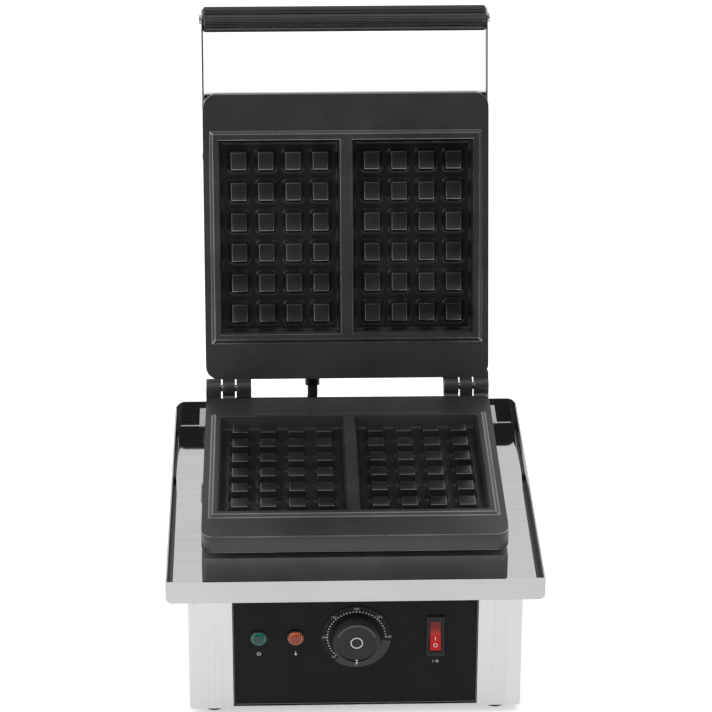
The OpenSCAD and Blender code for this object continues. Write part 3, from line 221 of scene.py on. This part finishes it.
steelLook = {"tone": (grey(0.46), grey(0.54)), "gloss": (0.2, 0.3), "bump": 0.12}
brightLook = {"tone": (grey(0.62), grey(0.7)), "gloss": (0.05, 0.1), "bump": 0.02}
frontLook = {"tone": (grey(0.39), grey(0.45)), "gloss": (0.2, 0.3), "bump": 0.12}
ironLook = {"dark": 0.022, "pale": 0.036, "gloss": (0.32, 0.44), "shine": 0.5, "metal": 0.0}
# painted shade: the recessed beds are given a darker iron than the rest of the plate
bedShadeLook = {"dark": 0.006, "pale": 0.016, "gloss": (0.26, 0.42), "shine": 0.4, "metal": 0.0}
# worn coating and painted highlight: the bevelled edges get a paler, metallic iron, bright alike on every side
edgeWearAndGlintLook = {"dark": 0.18, "pale": 0.32, "gloss": (0.22, 0.34), "shine": 0.5, "metal": 1.0}

sideSteel = satinSteel("satinSteelUpright", "z", steelLook)
acrossSteel = satinSteel("satinSteelAcross", "x", steelLook)
traySteel = satinSteel("brightSteel", "x", brightLook)
frontSteel = satinSteel("satinSteelFront", "x", frontLook)
iron = coatedIron("coatedIron", ironLook)
bedShadeIron = coatedIron("ironWithPaintedBedShade", bedShadeLook)
ironEdgeWearAndGlint = coatedIron("wornIronEdgeAndPaintedGlint", edgeWearAndGlintLook)
standEnamel = plainCoat("standEnamel", grey(0.12), grey(0.15), (0.3, 0.42), 30.0, grain=600.0)
fascia = plainCoat(
    "fasciaBlack", grey(0.009), grey(0.013), (0.45, 0.55), 60.0, grain=1500.0, shine=0.08, rough=0.08)
bakelite = plainCoat(
    "bakelite", grey(0.008), grey(0.013), (0.2, 0.32), 50.0, grain=900.0, shine=0.7, rough=0.1)
dialGrey = plainCoat(
    "dialGrey", grey(0.01), grey(0.015), (0.4, 0.5), 80.0, grain=1200.0, shine=0.12, rough=0.1)
dialPale = plainCoat(
    "dialPale", grey(0.045), grey(0.065), (0.4, 0.5), 80.0, grain=1200.0, shine=0.2, rough=0.1)
knobBlack = plainCoat(
    "knobBlack", grey(0.011), grey(0.018), (0.3, 0.42), 70.0, grain=1400.0, shine=0.25, rough=0.1)
mouldedBlack = plainCoat("mouldedBlack", grey(0.008), grey(0.012), (0.25, 0.4), 60.0, grain=900.0, shine=0.2)
rubberBlack = plainCoat("rubberBlack", grey(0.012), grey(0.022), (0.6, 0.8), 50.0, grain=700.0, shine=0.3)
zincSteel = plainCoat(
    "zincSteel", grey(0.42), grey(0.55), (0.25, 0.4), 200.0, grain=900.0, metal=1.0, rough=0.1)
pinSteel = plainCoat(
    "pinSteel", grey(0.3), grey(0.42), (0.22, 0.35), 160.0, grain=900.0, metal=1.0, rough=0.1)
elementSteel = plainCoat(
    "elementSteel", (0.12, 0.11, 0.1), (0.2, 0.18, 0.16), (0.4, 0.6), 120.0, grain=700.0, metal=1.0)
copper = plainCoat("copper", (0.62, 0.3, 0.18), (0.75, 0.4, 0.25), (0.25, 0.4), 150.0, grain=700.0, metal=1.0)
brass = plainCoat("brass", (0.6, 0.45, 0.18), (0.7, 0.55, 0.25), (0.3, 0.45), 150.0, grain=700.0, metal=1.0)
ceramic = plainCoat("ceramic", (0.7, 0.67, 0.6), (0.8, 0.77, 0.7), (0.35, 0.5), 90.0, grain=500.0)
padFibre = plainCoat(
    "padFibre", (0.6, 0.56, 0.44), (0.75, 0.7, 0.58), (0.8, 0.95), 300.0, grain=1500.0, shine=0.2, rough=0.8)
printWhite = plainCoat("printWhite", grey(0.7), grey(0.8), (0.5, 0.6), 300.0)
printSoft = plainCoat("printSoft", grey(0.34), grey(0.42), (0.5, 0.6), 300.0)
printGrey = plainCoat("printGrey", grey(0.2), grey(0.26), (0.5, 0.6), 300.0)
lampRim = plainCoat("lampRim", grey(0.05), grey(0.09), (0.15, 0.25), 200.0, metal=1.0)
greenLens = lensPlastic("greenLens", (0.0, 0.03, 0.025), (0.01, 0.3, 0.22))
amberLens = lensPlastic("amberLens", (0.16, 0.02, 0.003), (0.8, 0.22, 0.06))
rockerRed = rockerPlastic()

finish = {
    "base_shell": sideSteel, "bottom_plate": acrossSteel, "rear_panel": acrossSteel,
    "control_panel": fascia, "foot_front_left": rubberBlack, "foot_front_right": rubberBlack,
    "foot_rear_left": rubberBlack, "foot_rear_right": rubberBlack, "foot_screws": zincSteel,
    "drip_tray": traySteel, "tray_nuts": zincSteel, "plate_stand": standEnamel,
    "stand_screws": zincSteel, "rear_bracket": acrossSteel, "bracket_screws": zincSteel,
    "lower_plate": iron, "lower_plate_screws": zincSteel, "lower_element": elementSteel,
    "lower_clamp": acrossSteel, "lower_clamp_screws": zincSteel, "lower_insulation": padFibre,
    "sensor_bulb": copper, "capillary": copper, "safety_cutout": ceramic,
    "upper_plate": iron, "upper_element": elementSteel, "upper_clamp": acrossSteel,
    "upper_clamp_screws": zincSteel, "upper_insulation": padFibre, "cover_posts": zincSteel,
    "lid_cover": acrossSteel, "cover_screws": zincSteel, "arm_left": sideSteel, "arm_right": sideSteel,
    "arm_screws": zincSteel, "handle_grip": bakelite, "handle_rod": zincSteel,
    "handle_screws": zincSteel, "hinge_pin_left": pinSteel, "hinge_pin_right": pinSteel,
    "lid_gland": mouldedBlack, "tray_grommet": rubberBlack,
    "lid_lead": rubberBlack, "cord_inlet": mouldedBlack, "thermostat_body": ceramic,
    "thermostat_nut": zincSteel, "control_shaft": pinSteel, "dial_plate": dialGrey,
    "knob": knobBlack, "green_lamp_body": lampRim, "green_lens": greenLens,
    "amber_lamp_body": lampRim, "amber_lens": amberLens, "switch_body": mouldedBlack,
    "switch_rocker": rockerRed, "terminal_block": ceramic, "earth_stud": brass,
    "panel_studs": zincSteel, "housing_screws": zincSteel,
}
bodyOf = {n: b for b, members in frame["record"]["behaviour"]["bodies"].items() for n in members}
for name, mat in finish.items():
    nodes[name].data.materials.clear()
    nodes[name].data.materials.append(mat)
print("materials ready")


shading = {"turn": 24, "least": 0.5, "unlike": 0.03}  # degrees, degrees and a ratio of areas


def markSharp(bm, limit):  # edges sharp where the surface turns, and round flats beside fine bends
    for face in bm.faces:
        face.smooth = True
    for edge in bm.edges:
        if len(edge.link_faces) == 2:
            turn = edge.calc_face_angle(0)
            areas = sorted(face.calc_area() for face in edge.link_faces)
            unlike = turn > radians(shading["least"]) and areas[0] < shading["unlike"] * areas[1]
            edge.smooth = turn < radians(limit) and not unlike


def finished(name, bm, mat, body, limit=shading["turn"]):  # the shape as a piece
    markSharp(bm, limit)
    mesh = bpy.data.meshes.new(name)
    bm.to_mesh(mesh)
    bm.free()
    piece = bpy.data.objects.new(name, mesh)
    bpy.context.scene.collection.objects.link(piece)
    mesh.materials.append(mat)
    if body:
        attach(piece, body)
    return piece


eased = {"merge": 2e-6, "flat": 0.5, "sharp": 35, "segments": 2, "trayFront": 0.0004}


def mergedCopy(node, whole):  # the node's own mesh, merged, with flat faces made whole
    bm = bmesh.new()
    bm.from_mesh(nodes[node].data)
    bmesh.ops.remove_doubles(bm, verts=bm.verts, dist=eased["merge"])
    if whole:
        bmesh.ops.dissolve_limit(bm, angle_limit=radians(eased["flat"]), verts=bm.verts, edges=bm.edges)
    return bm


lowerFrame = Matrix.Translation((0, plateY, hinge.z - casting["axisLow"]))
upperFrame = (
    Matrix.Translation(hinge) @ Matrix.Rotation(-openAngle, 4, "X") @ Matrix.Translation(-hinge)
    @ Matrix.Translation((0, plateY, hinge.z + casting["axisUp"])) @ Matrix.Rotation(pi, 4, "Y")
)


def insideBed(spot):  # whether a point of a casting, in its own frame, lies in a waffle bed
    across = abs(abs(spot.x) - casting["bedX"]) < casting["bedW"] / 2 - casting["bedEdge"]
    along = abs(spot.y + casting["depth"] / 2) < casting["bedL"] / 2 - casting["bedEdge"]
    return across and along and spot.z > casting["bedLowest"]


def hingeCorner(spot):  # where a knuckle's web runs into the round corner of its plate
    return abs(spot.x) > casting["webX"] and casting["webY"][0] < spot.y < casting["webY"][1]


def easedEdges(node, width):  # the node with its sharp edges broken
    isPlate, isTray = finish[node] == iron, node == "drip_tray"
    bm = mergedCopy(node, whole=not isTray)
    sharp = [
        e for e in bm.edges
        if len(e.link_faces) == 2 and e.calc_face_angle(0) > radians(eased["sharp"])]
    if isPlate:
        back = (lowerFrame if node == "lower_plate" else upperFrame).inverted()
        sharp = [e for e in sharp if not any(hingeCorner(back @ vert.co) for vert in e.verts)]
    if width:
        made = bmesh.ops.bevel(
            bm, geom=sharp, offset=width, segments=eased["segments"], profile=0.5,
            affect="EDGES", material=-1, clamp_overlap=False)
    if isPlate:  # worn metal with painted highlight on the edges, painted shade as darker iron in the beds
        for face in made["faces"]:
            face.material_index = 1
        # painted shade: every face inside a bed takes the darker iron
        for face in bm.faces:
            if face.material_index == 0 and all(insideBed(back @ vert.co) for vert in face.verts):
                face.material_index = 2
    if isTray:  # satin metal on the outside of the front wall
        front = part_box(node)[0].y + eased["trayFront"]
        for face in bm.faces:
            if face.normal.y < -0.9 and face.calc_center_median().y < front:
                face.material_index = 1
    piece = finished(node + "Eased", bm, finish[node], bodyOf[node])
    if isPlate:
        piece.data.materials.append(ironEdgeWearAndGlint)
        piece.data.materials.append(bedShadeIron)
    if isTray:
        piece.data.materials.append(frontSteel)
    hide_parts(node)


edgeWidths = {  # the tray keeps its own thin edges
    "lower_plate": 0.0006, "upper_plate": 0.0006, "base_shell": 0.0003, "control_panel": 0.0003,
    "plate_stand": 0.0004, "rear_bracket": 0.0003, "lid_cover": 0.00015, "arm_left": 0.0003,
    "arm_right": 0.0003, "drip_tray": 0.0, "switch_body": 0.0004,
}
for node, width in edgeWidths.items():
    easedEdges(node, width)
print("edges eased")

skirt = {  # fillet between the floor of a bed and its walls and teeth
    "step": 0.0009, "over": 0.00035, "lift": 0.00005,
    "wide": 0.0032, "high": 0.0022, "corner": 0.003, "turn": 60,
}


def hollow(gap):  # height of a concave fillet at a distance from the wall it leaves
    t = min(max(gap, 0) / skirt["wide"], 1)
    return skirt["high"] * (1 - sqrt(1 - (1 - t) ** 2))


def roundedGap(x, y, halfX, halfY):  # distance outside a rounded rectangle
    qx = max(abs(x) - halfX + skirt["corner"], 0)
    qy = max(abs(y) - halfY + skirt["corner"], 0)
    return hypot(qx, qy) - skirt["corner"]


def nearest(v, pitch, count):  # offset from the nearest of the evenly spaced teeth
    middle = (count - 1) / 2
    return v - (min(max(round(v / pitch + middle), 0), count - 1) - middle) * pitch


def bedFloor(name, side, place, body):  # the cast floor of one bed with its fillets
    c = casting
    halfX = c["bedW"] / 2 - c["draft"]
    halfY = c["bedL"] / 2 - c["draft"]
    spanX, spanY = halfX + skirt["over"], halfY + skirt["over"]
    bm = bmesh.new()
    bmesh.ops.create_grid(
        bm, x_segments=round(2 * spanX / skirt["step"]),
        y_segments=round(2 * spanY / skirt["step"]), size=1)
    for vert in bm.verts:
        x, y = vert.co.x * spanX, vert.co.y * spanY
        besideX = nearest(x, c["pitchX"], c["cols"])
        besideY = nearest(y, c["pitchY"], c["rows"])
        tooth = roundedGap(besideX, besideY, c["toothHalfX"], c["toothHalfY"])
        rise = max(hollow(tooth), hollow(halfX - abs(x)), hollow(halfY - abs(y)))
        vert.co = (side * c["bedX"] + x, y - c["depth"] / 2, rise + skirt["lift"] - c["bedDepth"])
    bm.transform(place)
    bm.normal_update()
    # the bed floor takes the darker iron, painted shade of the recess
    finished(name, bm, bedShadeIron, body, skirt["turn"])


for side, word in ((-1, "Left"), (1, "Right")):
    bedFloor("lowerBedFloor" + word, side, lowerFrame, "base")
    bedFloor("upperBedFloor" + word, side, upperFrame, "lid")
print("bed floors cast")

grip = {
    "flutes": 26, "fluteDepth": 0.0007, "perFlute": 8, "groove": 0.7, "round": 0.0022, "roundSteps": 5,
    "inside": 0.00005, "turn": 40,
}


def lathe(bm, rings):  # closed skin through rings of equal length, with both ends filled
    rows = [[bm.verts.new(point) for point in ring] for ring in rings]
    count = len(rows[0])
    for near, far in zip(rows, rows[1:]):
        for k in range(count):
            bm.faces.new((near[k], near[(k + 1) % count], far[(k + 1) % count], far[k]))
    bm.faces.new(rows[0][::-1])
    bm.faces.new(rows[-1])
    bm.normal_update()
    bmesh.ops.recalc_face_normals(bm, faces=bm.faces)


def makeGrip():  # ribbed cylinder with rounded ends
    lo, hi = (Vector(p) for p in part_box("handle_grip"))
    mid = (lo + hi) / 2
    g = grip
    radius = (hi.z - lo.z) / 2 - g["inside"]
    stations = [(lo.x, radius - g["round"])] + [
        (lo.x + g["round"] * (1 - cos(a)), radius - g["round"] * (1 - sin(a)))
        for a in (k * pi / 2 / g["roundSteps"] for k in range(1, g["roundSteps"] + 1))]
    stations += [(2 * mid.x - x, r) for x, r in stations[::-1]]
    total = g["flutes"] * g["perFlute"]
    rings = []
    for x, r in stations:
        ring = []
        for k in range(total):
            angle = 2 * pi * k / total
            dip = g["fluteDepth"] * (0.5 + 0.5 * cos(angle * g["flutes"])) ** g["groove"]
            ring.append((x, mid.y + (r - dip) * cos(angle), mid.z + (r - dip) * sin(angle)))
        rings.append(ring)
    bm = bmesh.new()
    lathe(bm, rings)
    piece = finished("ribbedGrip", bm, bakelite, "lid", g["turn"])
    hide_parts("handle_grip")


makeGrip()

trayFloor = 0.1137
lead = {  # grommet and mouth as seen from the hinge's axis, the mouth with the lid closed
    "radius": 0.0045, "x": -0.031, "grommetX": -0.036, "grommetY": 0.026, "mouthY": 0.002, "mouthZ": 0.0268,
    "bendAbove": 0.008, "steps": 8, "turn": 50,
}


def smoothRoute(points, steps):  # one smooth curve through the points
    route = []
    for i in range(len(points) - 1):
        a, b = points[max(i - 1, 0)], points[i]
        c, d = points[i + 1], points[min(i + 2, len(points) - 1)]
        for k in range(steps):
            t = k / steps
            route.append(0.5 * (2 * b + (c - a) * t + (2 * a - 5 * b + 4 * c - d) * t * t
                                + (3 * b - a - 3 * c + d) * t ** 3))
    return route + [points[-1]]


def tube(bm, route, radius, sides=20):  # round skin along a route, without twist
    rings = []
    side = Vector((1, 0, 0))
    for i, point in enumerate(route):
        way = (route[min(i + 1, len(route) - 1)] - route[max(i - 1, 0)]).normalized()
        side = (side - way * side.dot(way)).normalized()
        other = way.cross(side)
        angles = [2 * pi * k / sides for k in range(sides)]
        rings.append([point + radius * (cos(a) * side + sin(a) * other) for a in angles])
    lathe(bm, rings)


def makeLead():  # sheathed lead from the lid's gland down through the tray
    way = Vector((0, cos(openAngle), -sin(openAngle)))
    mouth = Vector((
        lead["x"],
        hinge.y + lead["mouthY"] * cos(openAngle) + lead["mouthZ"] * sin(openAngle),
        hinge.z - lead["mouthY"] * sin(openAngle) + lead["mouthZ"] * cos(openAngle)))
    downX, downY = lead["grommetX"], hinge.y + lead["grommetY"]
    blockLow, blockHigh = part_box("terminal_block")
    points = [
        mouth - 0.001 * way,
        mouth + 0.009 * way,
        Vector((lead["x"] - 0.002, mouth.y - 0.003, mouth.z - 0.024)),
        Vector((downX, downY, trayFloor + 0.016)),
        Vector((downX, downY, trayFloor)),
        Vector((downX, downY - 0.002, trayFloor - 0.02)),
        Vector((downX, downY - 0.018, trayFloor - 0.052)),
        Vector((downX, downY - 0.044, trayFloor - 0.076)),
        Vector((downX, blockHigh[1] + 0.012, blockLow[2] + 0.01)),
        Vector((downX, blockHigh[1], blockLow[2] + 0.008)),
    ]
    route = smoothRoute(points, lead["steps"])
    bm = bmesh.new()
    tube(bm, route, lead["radius"])
    piece = finished("sheathedLead", bm, rubberBlack, None, lead["turn"])
    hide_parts("lid_lead")
    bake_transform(piece)


makeLead()
print("grip and lead made")

trayBend = {"radius": 0.0013, "sheet": 0.001, "inset": 0.0045, "steps": 6, "proud": 0.00002, "turn": 40}


def makeTrayBend():  # rounded inner corner where the tray's back wall leaves its floor
    lo, hi = (Vector(p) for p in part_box("drip_tray"))
    b = trayBend
    inward = b["radius"] + b["proud"]
    centre = Vector((0, hi.y - b["sheet"] - inward, trayFloor + inward))
    bm = bmesh.new()
    ends = [
        bm.verts.new((x, centre.y, centre.z - b["radius"]))
        for x in (lo.x + b["inset"], hi.x - b["inset"])]
    bmesh.ops.spin(
        bm, geom=[*ends, bm.edges.new(ends)], cent=centre, axis=(1, 0, 0), angle=pi / 2, steps=b["steps"])
    finished("trayBackBend", bm, traySteel, "base", b["turn"])


makeTrayBend()

dialX, panelY, axisZ = joints["knob_turn"]["pos_m"]
rockerAt = Vector(joints["switch_rock"]["pos_m"])
ink = 0.00006
dial = {  # angles in degrees, clockwise from the top
    "face": 0.001, "numberR": 0.0267, "number": 0.0031,
    "steps": 6, "each": 50, "firstNumber": 225, "apart": 45,
    "dotR": 0.0241, "dot": 0.00052, "dots": 36, "sweep": 225,
    "crescent": (0.0206, 0.0287), "shade": (98, 218),
}


def frontText(bm, words, size, x, y, z):  # lettering that faces the front
    curve = bpy.data.curves.new("lettering", "FONT")
    curve.body = words
    curve.size = size
    curve.align_x = "CENTER"
    curve.align_y = "CENTER"
    curve.resolution_u = 3
    holder = bpy.data.objects.new("lettering", curve)
    bpy.context.scene.collection.objects.link(holder)
    bpy.context.view_layer.update()
    flat = bpy.data.meshes.new_from_object(holder.evaluated_get(bpy.context.evaluated_depsgraph_get()))
    flat.transform(Matrix.Translation((x, y, z)) @ Matrix.Rotation(pi / 2, 4, "X"))
    bm.from_mesh(flat)
    bpy.data.objects.remove(holder)
    bpy.data.curves.remove(curve)
    bpy.data.meshes.remove(flat)


def disc(bm, radius, x, y, z, segments=16):  # flat disc that faces the front
    place = Matrix.Translation((x, y, z)) @ Matrix.Rotation(pi / 2, 4, "X")
    bmesh.ops.create_circle(bm, cap_ends=True, segments=segments, radius=radius, matrix=place)


def arcBand(bm, inner, outer, x, y, z, start, end, segments=48):  # flat band, angles clockwise from the top
    ends = [bm.verts.new((x + r * sin(start), y, z + r * cos(start))) for r in (outer, inner)]
    bmesh.ops.spin(
        bm, geom=[*ends, bm.edges.new(ends)], cent=(x, y, z), axis=(0, 1, 0), angle=end - start,
        steps=segments, use_merge=end - start >= 2 * pi)


def bar(bm, width, height, x, y, z):  # flat bar that faces the front
    corners = [(-1, -1), (1, -1), (1, 1), (-1, 1)]
    bm.faces.new([bm.verts.new((x + a * width / 2, y, z + b * height / 2)) for a, b in corners])


def makeDial():
    d = dial
    y = panelY - d["face"] - ink
    numbers = bmesh.new()
    for k in range(d["steps"]):
        angle = radians(d["firstNumber"] + d["apart"] * k)
        x, z = dialX + d["numberR"] * sin(angle), axisZ + d["numberR"] * cos(angle)
        frontText(numbers, str(d["each"] * (k + 1)), d["number"], x, y, z)
    frontText(numbers, "0", d["number"], dialX, y, axisZ - d["numberR"])
    finished("dialNumbers", numbers, printSoft, "base")
    dots = bmesh.new()
    for k in range(d["dots"]):
        angle = radians(d["firstNumber"] + d["sweep"] * k / (d["dots"] - 1))
        disc(dots, d["dot"], dialX + d["dotR"] * sin(angle), y, axisZ + d["dotR"] * cos(angle), 10)
    finished("dialDots", dots, printWhite, "base")
    shade = bmesh.new()
    arcBand(shade, *d["crescent"], dialX, y + ink / 2, axisZ, *(radians(a) for a in d["shade"]))
    finished("dialShade", shade, dialPale, "base")


knobMarks = {  # the pointer follows the knob's edge: how far in from its rim, how far under its top
    "radius": 0.0203, "top": 0.0115, "dish": 0.0008, "halfW": 0.0009,
    "edge": ((0.0042, 0.0008), (0.0024, 0), (0.0007, 0.001), (0, 0.003)),
    "ring": (0.0043, 0.0051), "rimHighlight": (0.0046, 0.0042), "highlightTurn": 70,
}


def makeKnobMarks():
    m = knobMarks
    bm = bmesh.new()
    rows = []
    for inward, under in m["edge"]:
        y = panelY - min(m["top"] - under + ink, m["top"])
        z = axisZ - (m["radius"] - inward) - ink
        rows.append([bm.verts.new((dialX + side * m["halfW"], y, z)) for side in (-1, 1)])
    for near, far in zip(rows, rows[1:]):
        bm.faces.new((near[0], near[1], far[1], far[0]))
    finished("knobPointer", bm, printWhite, "knob")
    face = panelY - (m["top"] - m["dish"]) - ink
    ring = bmesh.new()
    arcBand(ring, *m["ring"], dialX, face, axisZ, 0, 2 * pi, 64)
    finished("knobRing", ring, printWhite, "knob")
    # painted highlight: a grey arc along the top of the knob's rim, where the light from above falls
    rim = bmesh.new()
    turn = radians(m["highlightTurn"])
    arcBand(rim, *(m["radius"] - inward for inward in m["rimHighlight"]), dialX, face, axisZ, -turn, turn, 64)
    finished("knobRimHighlight", rim, printGrey, "knob")


signs = {  # plain signs under the lamps and the switch: places, then line widths and sizes
    "powerX": -0.08, "heatX": -0.0495, "underLamp": 0.0155, "underSwitch": 0.0245, "line": 0.0004,
    "powerRing": (0.0012, 0.0016), "powerGap": 35, "powerBar": 0.0016, "powerUp": 0.0011,
    "bulb": 0.0009, "stem": (0.0006, 0.0024), "stemUp": 0.0006,
    "onBar": 0.0022, "onLeft": 0.0018, "offRing": (0.0008, 0.0012), "offRight": 0.0016,
}
fasciaEdge = {"halfX": 0.1008, "top": 0.1088, "low": 0.0113, "line": 0.0004}


def makePanelMarks():
    g = signs
    y = panelY - ink
    lampZ, switchZ = axisZ - g["underLamp"], axisZ - g["underSwitch"]
    bm = bmesh.new()
    gap = radians(g["powerGap"])
    arcBand(bm, *g["powerRing"], g["powerX"], y, lampZ, gap, 2 * pi - gap, 24)
    bar(bm, g["line"], g["powerBar"], g["powerX"], y, lampZ + g["powerUp"])
    disc(bm, g["bulb"], g["heatX"], y, lampZ - g["bulb"])
    bar(bm, *g["stem"], g["heatX"], y, lampZ + g["stemUp"])
    bar(bm, g["line"], g["onBar"], rockerAt.x - g["onLeft"], y, switchZ)
    arcBand(bm, *g["offRing"], rockerAt.x + g["offRight"], y, switchZ, 0, 2 * pi, 24)
    finished("panelSigns", bm, printWhite, "base")
    e = fasciaEdge
    edge = bmesh.new()
    for side in (-1, 1):
        bar(edge, e["line"], e["top"] - e["low"], side * e["halfX"], y, (e["top"] + e["low"]) / 2)
    bar(edge, 2 * e["halfX"], e["line"], 0, y, e["low"])
    finished("fasciaLine", edge, printGrey, "base")


lens = {  # each ring of the dome as shares of its radius and height
    "rim": 0.0016, "radius": 0.0063, "sides": 14, "inside": 0.0001, "turn": 8,
    "rings": ((0.62, 1.0), (0.86, 0.72), (1.0, 0.32), (1.0, 0.02)),
}


def makeLens(node, mat):  # faceted dome that stands on its rim
    lo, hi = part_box(node)
    x, z, top = (lo[0] + hi[0]) / 2, (lo[2] + hi[2]) / 2, lo[1] + lens["inside"]
    base = panelY - lens["rim"]
    rows = []
    for k, (wide, out) in enumerate(lens["rings"]):
        radius, y = lens["radius"] * wide, base + (top - base) * out
        angles = [(2 * n + k % 2) * pi / lens["sides"] for n in range(lens["sides"])]
        rows.append([(x + radius * cos(a), y, z + radius * sin(a)) for a in angles])
    bm = bmesh.new()
    lathe(bm, rows)
    piece = finished(node.split("_")[0] + "Dome", bm, mat, "base", lens["turn"])
    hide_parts(node)


makeLens("green_lens", greenLens)
makeLens("amber_lens", amberLens)

rockerFace = {  # the two faces of the rocker rise from its valley; signs stand at their drop below the axis
    "valley": 0.00343, "rise": 0.1476, "tilt": 9, "proud": 0.00007,
    "on": (0.0006, 0.003), "onDrop": 0.0026, "off": (0.0012, 0.0017), "offDrop": 0.0082,
}


def ontoRocker(bm, drop):  # lays a sign that was made at the origin on the face below the valley
    f = rockerFace
    out = f["valley"] + f["rise"] * drop + f["proud"]
    bm.transform(
        Matrix.Translation(rockerAt) @ Matrix.Rotation(radians(-f["tilt"]), 4, "X")
        @ Matrix.Translation((0, -out, -drop)) @ Matrix.Rotation(-atan2(f["rise"], 1), 4, "X"))


def makeRockerMarks():  # on and off signs
    onSign, offSign = bmesh.new(), bmesh.new()
    bar(onSign, *rockerFace["on"], 0, 0, 0)
    arcBand(offSign, *rockerFace["off"], 0, 0, 0, 0, 2 * pi, 28)
    ontoRocker(onSign, rockerFace["onDrop"])
    ontoRocker(offSign, rockerFace["offDrop"])
    spare = bpy.data.meshes.new("spare")
    offSign.to_mesh(spare)
    offSign.free()
    onSign.from_mesh(spare)
    bpy.data.meshes.remove(spare)
    finished("rockerSigns", onSign, printWhite, "rocker")


makeDial()
makeKnobMarks()
makePanelMarks()
makeRockerMarks()
print("dial and signs printed")


view = {"lens": 151.74, "x": -0.0608, "back": 2.3956, "height": 1.3585,
        "yaw": radians(1.629), "pitch": radians(25.644), "roll": radians(0.124)}


def makeCamera():
    data = bpy.data.cameras.new("camera")
    data.lens = view["lens"]
    data.sensor_width = 36
    data.clip_end = 20
    camera = bpy.data.objects.new("camera", data)
    bpy.context.scene.collection.objects.link(camera)
    turn = (
        Matrix.Rotation(-view["yaw"], 4, "Z")
        @ Matrix.Rotation(pi / 2 - view["pitch"], 4, "X")
        @ Matrix.Rotation(view["roll"], 4, "Z")
    )
    camera.matrix_world = Matrix.Translation((view["x"], plateY - view["back"], view["height"])) @ turn
    bpy.context.scene.camera = camera


lamps = {
    "overhead": {"place": (0.2, -0.2, 1.9), "size": (1.6, 1.2), "power": 16},
    "left": {"place": (-1.5, -0.9, 1.2), "size": (0.9, 1.2), "power": 9},
}
lampTarget = (0, 0, 0.2)


def areaLight(name):
    data = bpy.data.lights.new(name, "AREA")
    data.shape = "RECTANGLE"
    data.size, data.size_y = lamps[name]["size"]
    data.energy = lamps[name]["power"]
    lamp = bpy.data.objects.new(name, data)
    bpy.context.scene.collection.objects.link(lamp)
    place = Vector(lamps[name]["place"])
    lamp.location = place
    lamp.rotation_euler = (Vector(lampTarget) - place).to_track_quat("-Z", "Y").to_euler()
    return lamp


studio = {
    "ambient": 0.55, "white": 1.0, "dark": 0.03, "frontFade": (-0.75, -0.2), "highFade": (0.55, 0.95),
    "floor": (0.86, 0.88), "floorSize": 6, "floorGlow": 0.55,
}


def larger(tree, first, second):  # the larger of two numbers
    node = addNode(tree, "ShaderNodeMath", operation="MAXIMUM")
    tree.links.new(first, node.inputs[0])
    tree.links.new(second, node.inputs[1])
    return node.outputs[0]


def makeFloor():
    bm = bmesh.new()
    bmesh.ops.create_grid(bm, x_segments=4, y_segments=4, size=studio["floorSize"])
    mat, tree, shader = newMaterial("paleFloor")
    low, high = studio["floor"]
    cloud = noise(tree, objectPoint(tree), 3.0)
    tree.links.new(tint(tree, cloud, grey(low), grey(high)), shader.inputs["Base Color"])
    shader.inputs["Roughness"].default_value = 0.9
    shader.inputs["Specular IOR Level"].default_value = 0.1
    path = tree.nodes.new("ShaderNodeLightPath")
    seen = larger(tree, path.outputs["Is Camera Ray"], path.outputs["Is Glossy Ray"])
    strength = addNode(tree, "ShaderNodeMath", operation="MULTIPLY")
    strength.inputs[1].default_value = studio["floorGlow"]
    tree.links.new(seen, strength.inputs[0])
    glow = tree.nodes.new("ShaderNodeEmission")
    tree.links.new(strength.outputs[0], glow.inputs["Strength"])
    both = tree.nodes.new("ShaderNodeAddShader")
    tree.links.new(shader.outputs[0], both.inputs[0])
    tree.links.new(glow.outputs[0], both.inputs[1])
    tree.links.new(both.outputs[0], tree.nodes["Material Output"].inputs["Surface"])
    finished("floor", bm, mat, None)


def makeWorld():  # white behind and above, dark in front where the camera stands
    world = bpy.data.worlds.new("studio")
    bpy.context.scene.world = world
    world.use_nodes = True
    tree = world.node_tree
    tree.nodes.clear()
    out = tree.nodes.new("ShaderNodeOutputWorld")
    ambient = addNode(tree, "ShaderNodeBackground", Color=(1, 1, 1, 1), Strength=studio["ambient"])
    shown = tree.nodes.new("ShaderNodeBackground")
    coord = tree.nodes.new("ShaderNodeTexCoord")
    split = tree.nodes.new("ShaderNodeSeparateXYZ")
    tree.links.new(coord.outputs["Generated"], split.inputs[0])
    front = between(tree, split.outputs["Y"], studio["dark"], studio["white"], *studio["frontFade"])
    high = between(tree, split.outputs["Z"], 0.0, 1.0, *studio["highFade"])
    path = tree.nodes.new("ShaderNodeLightPath")
    mirrored = larger(tree, front, high)
    tree.links.new(larger(tree, mirrored, path.outputs["Is Camera Ray"]), shown.inputs["Strength"])
    direct = larger(tree, path.outputs["Is Camera Ray"], path.outputs["Is Glossy Ray"])
    seen = larger(tree, direct, path.outputs["Is Transmission Ray"])
    mix = tree.nodes.new("ShaderNodeMixShader")
    tree.links.new(seen, mix.inputs[0])
    tree.links.new(ambient.outputs[0], mix.inputs[1])
    tree.links.new(shown.outputs[0], mix.inputs[2])
    tree.links.new(mix.outputs[0], out.inputs["Surface"])


makeCamera()
makeFloor()
makeWorld()
areaLight("overhead").visible_glossy = False  # bright sheet mirrors the pale room, not the lamp
areaLight("left")
bpy.context.scene.view_settings.view_transform = "Standard"
print("camera, floor and light set")
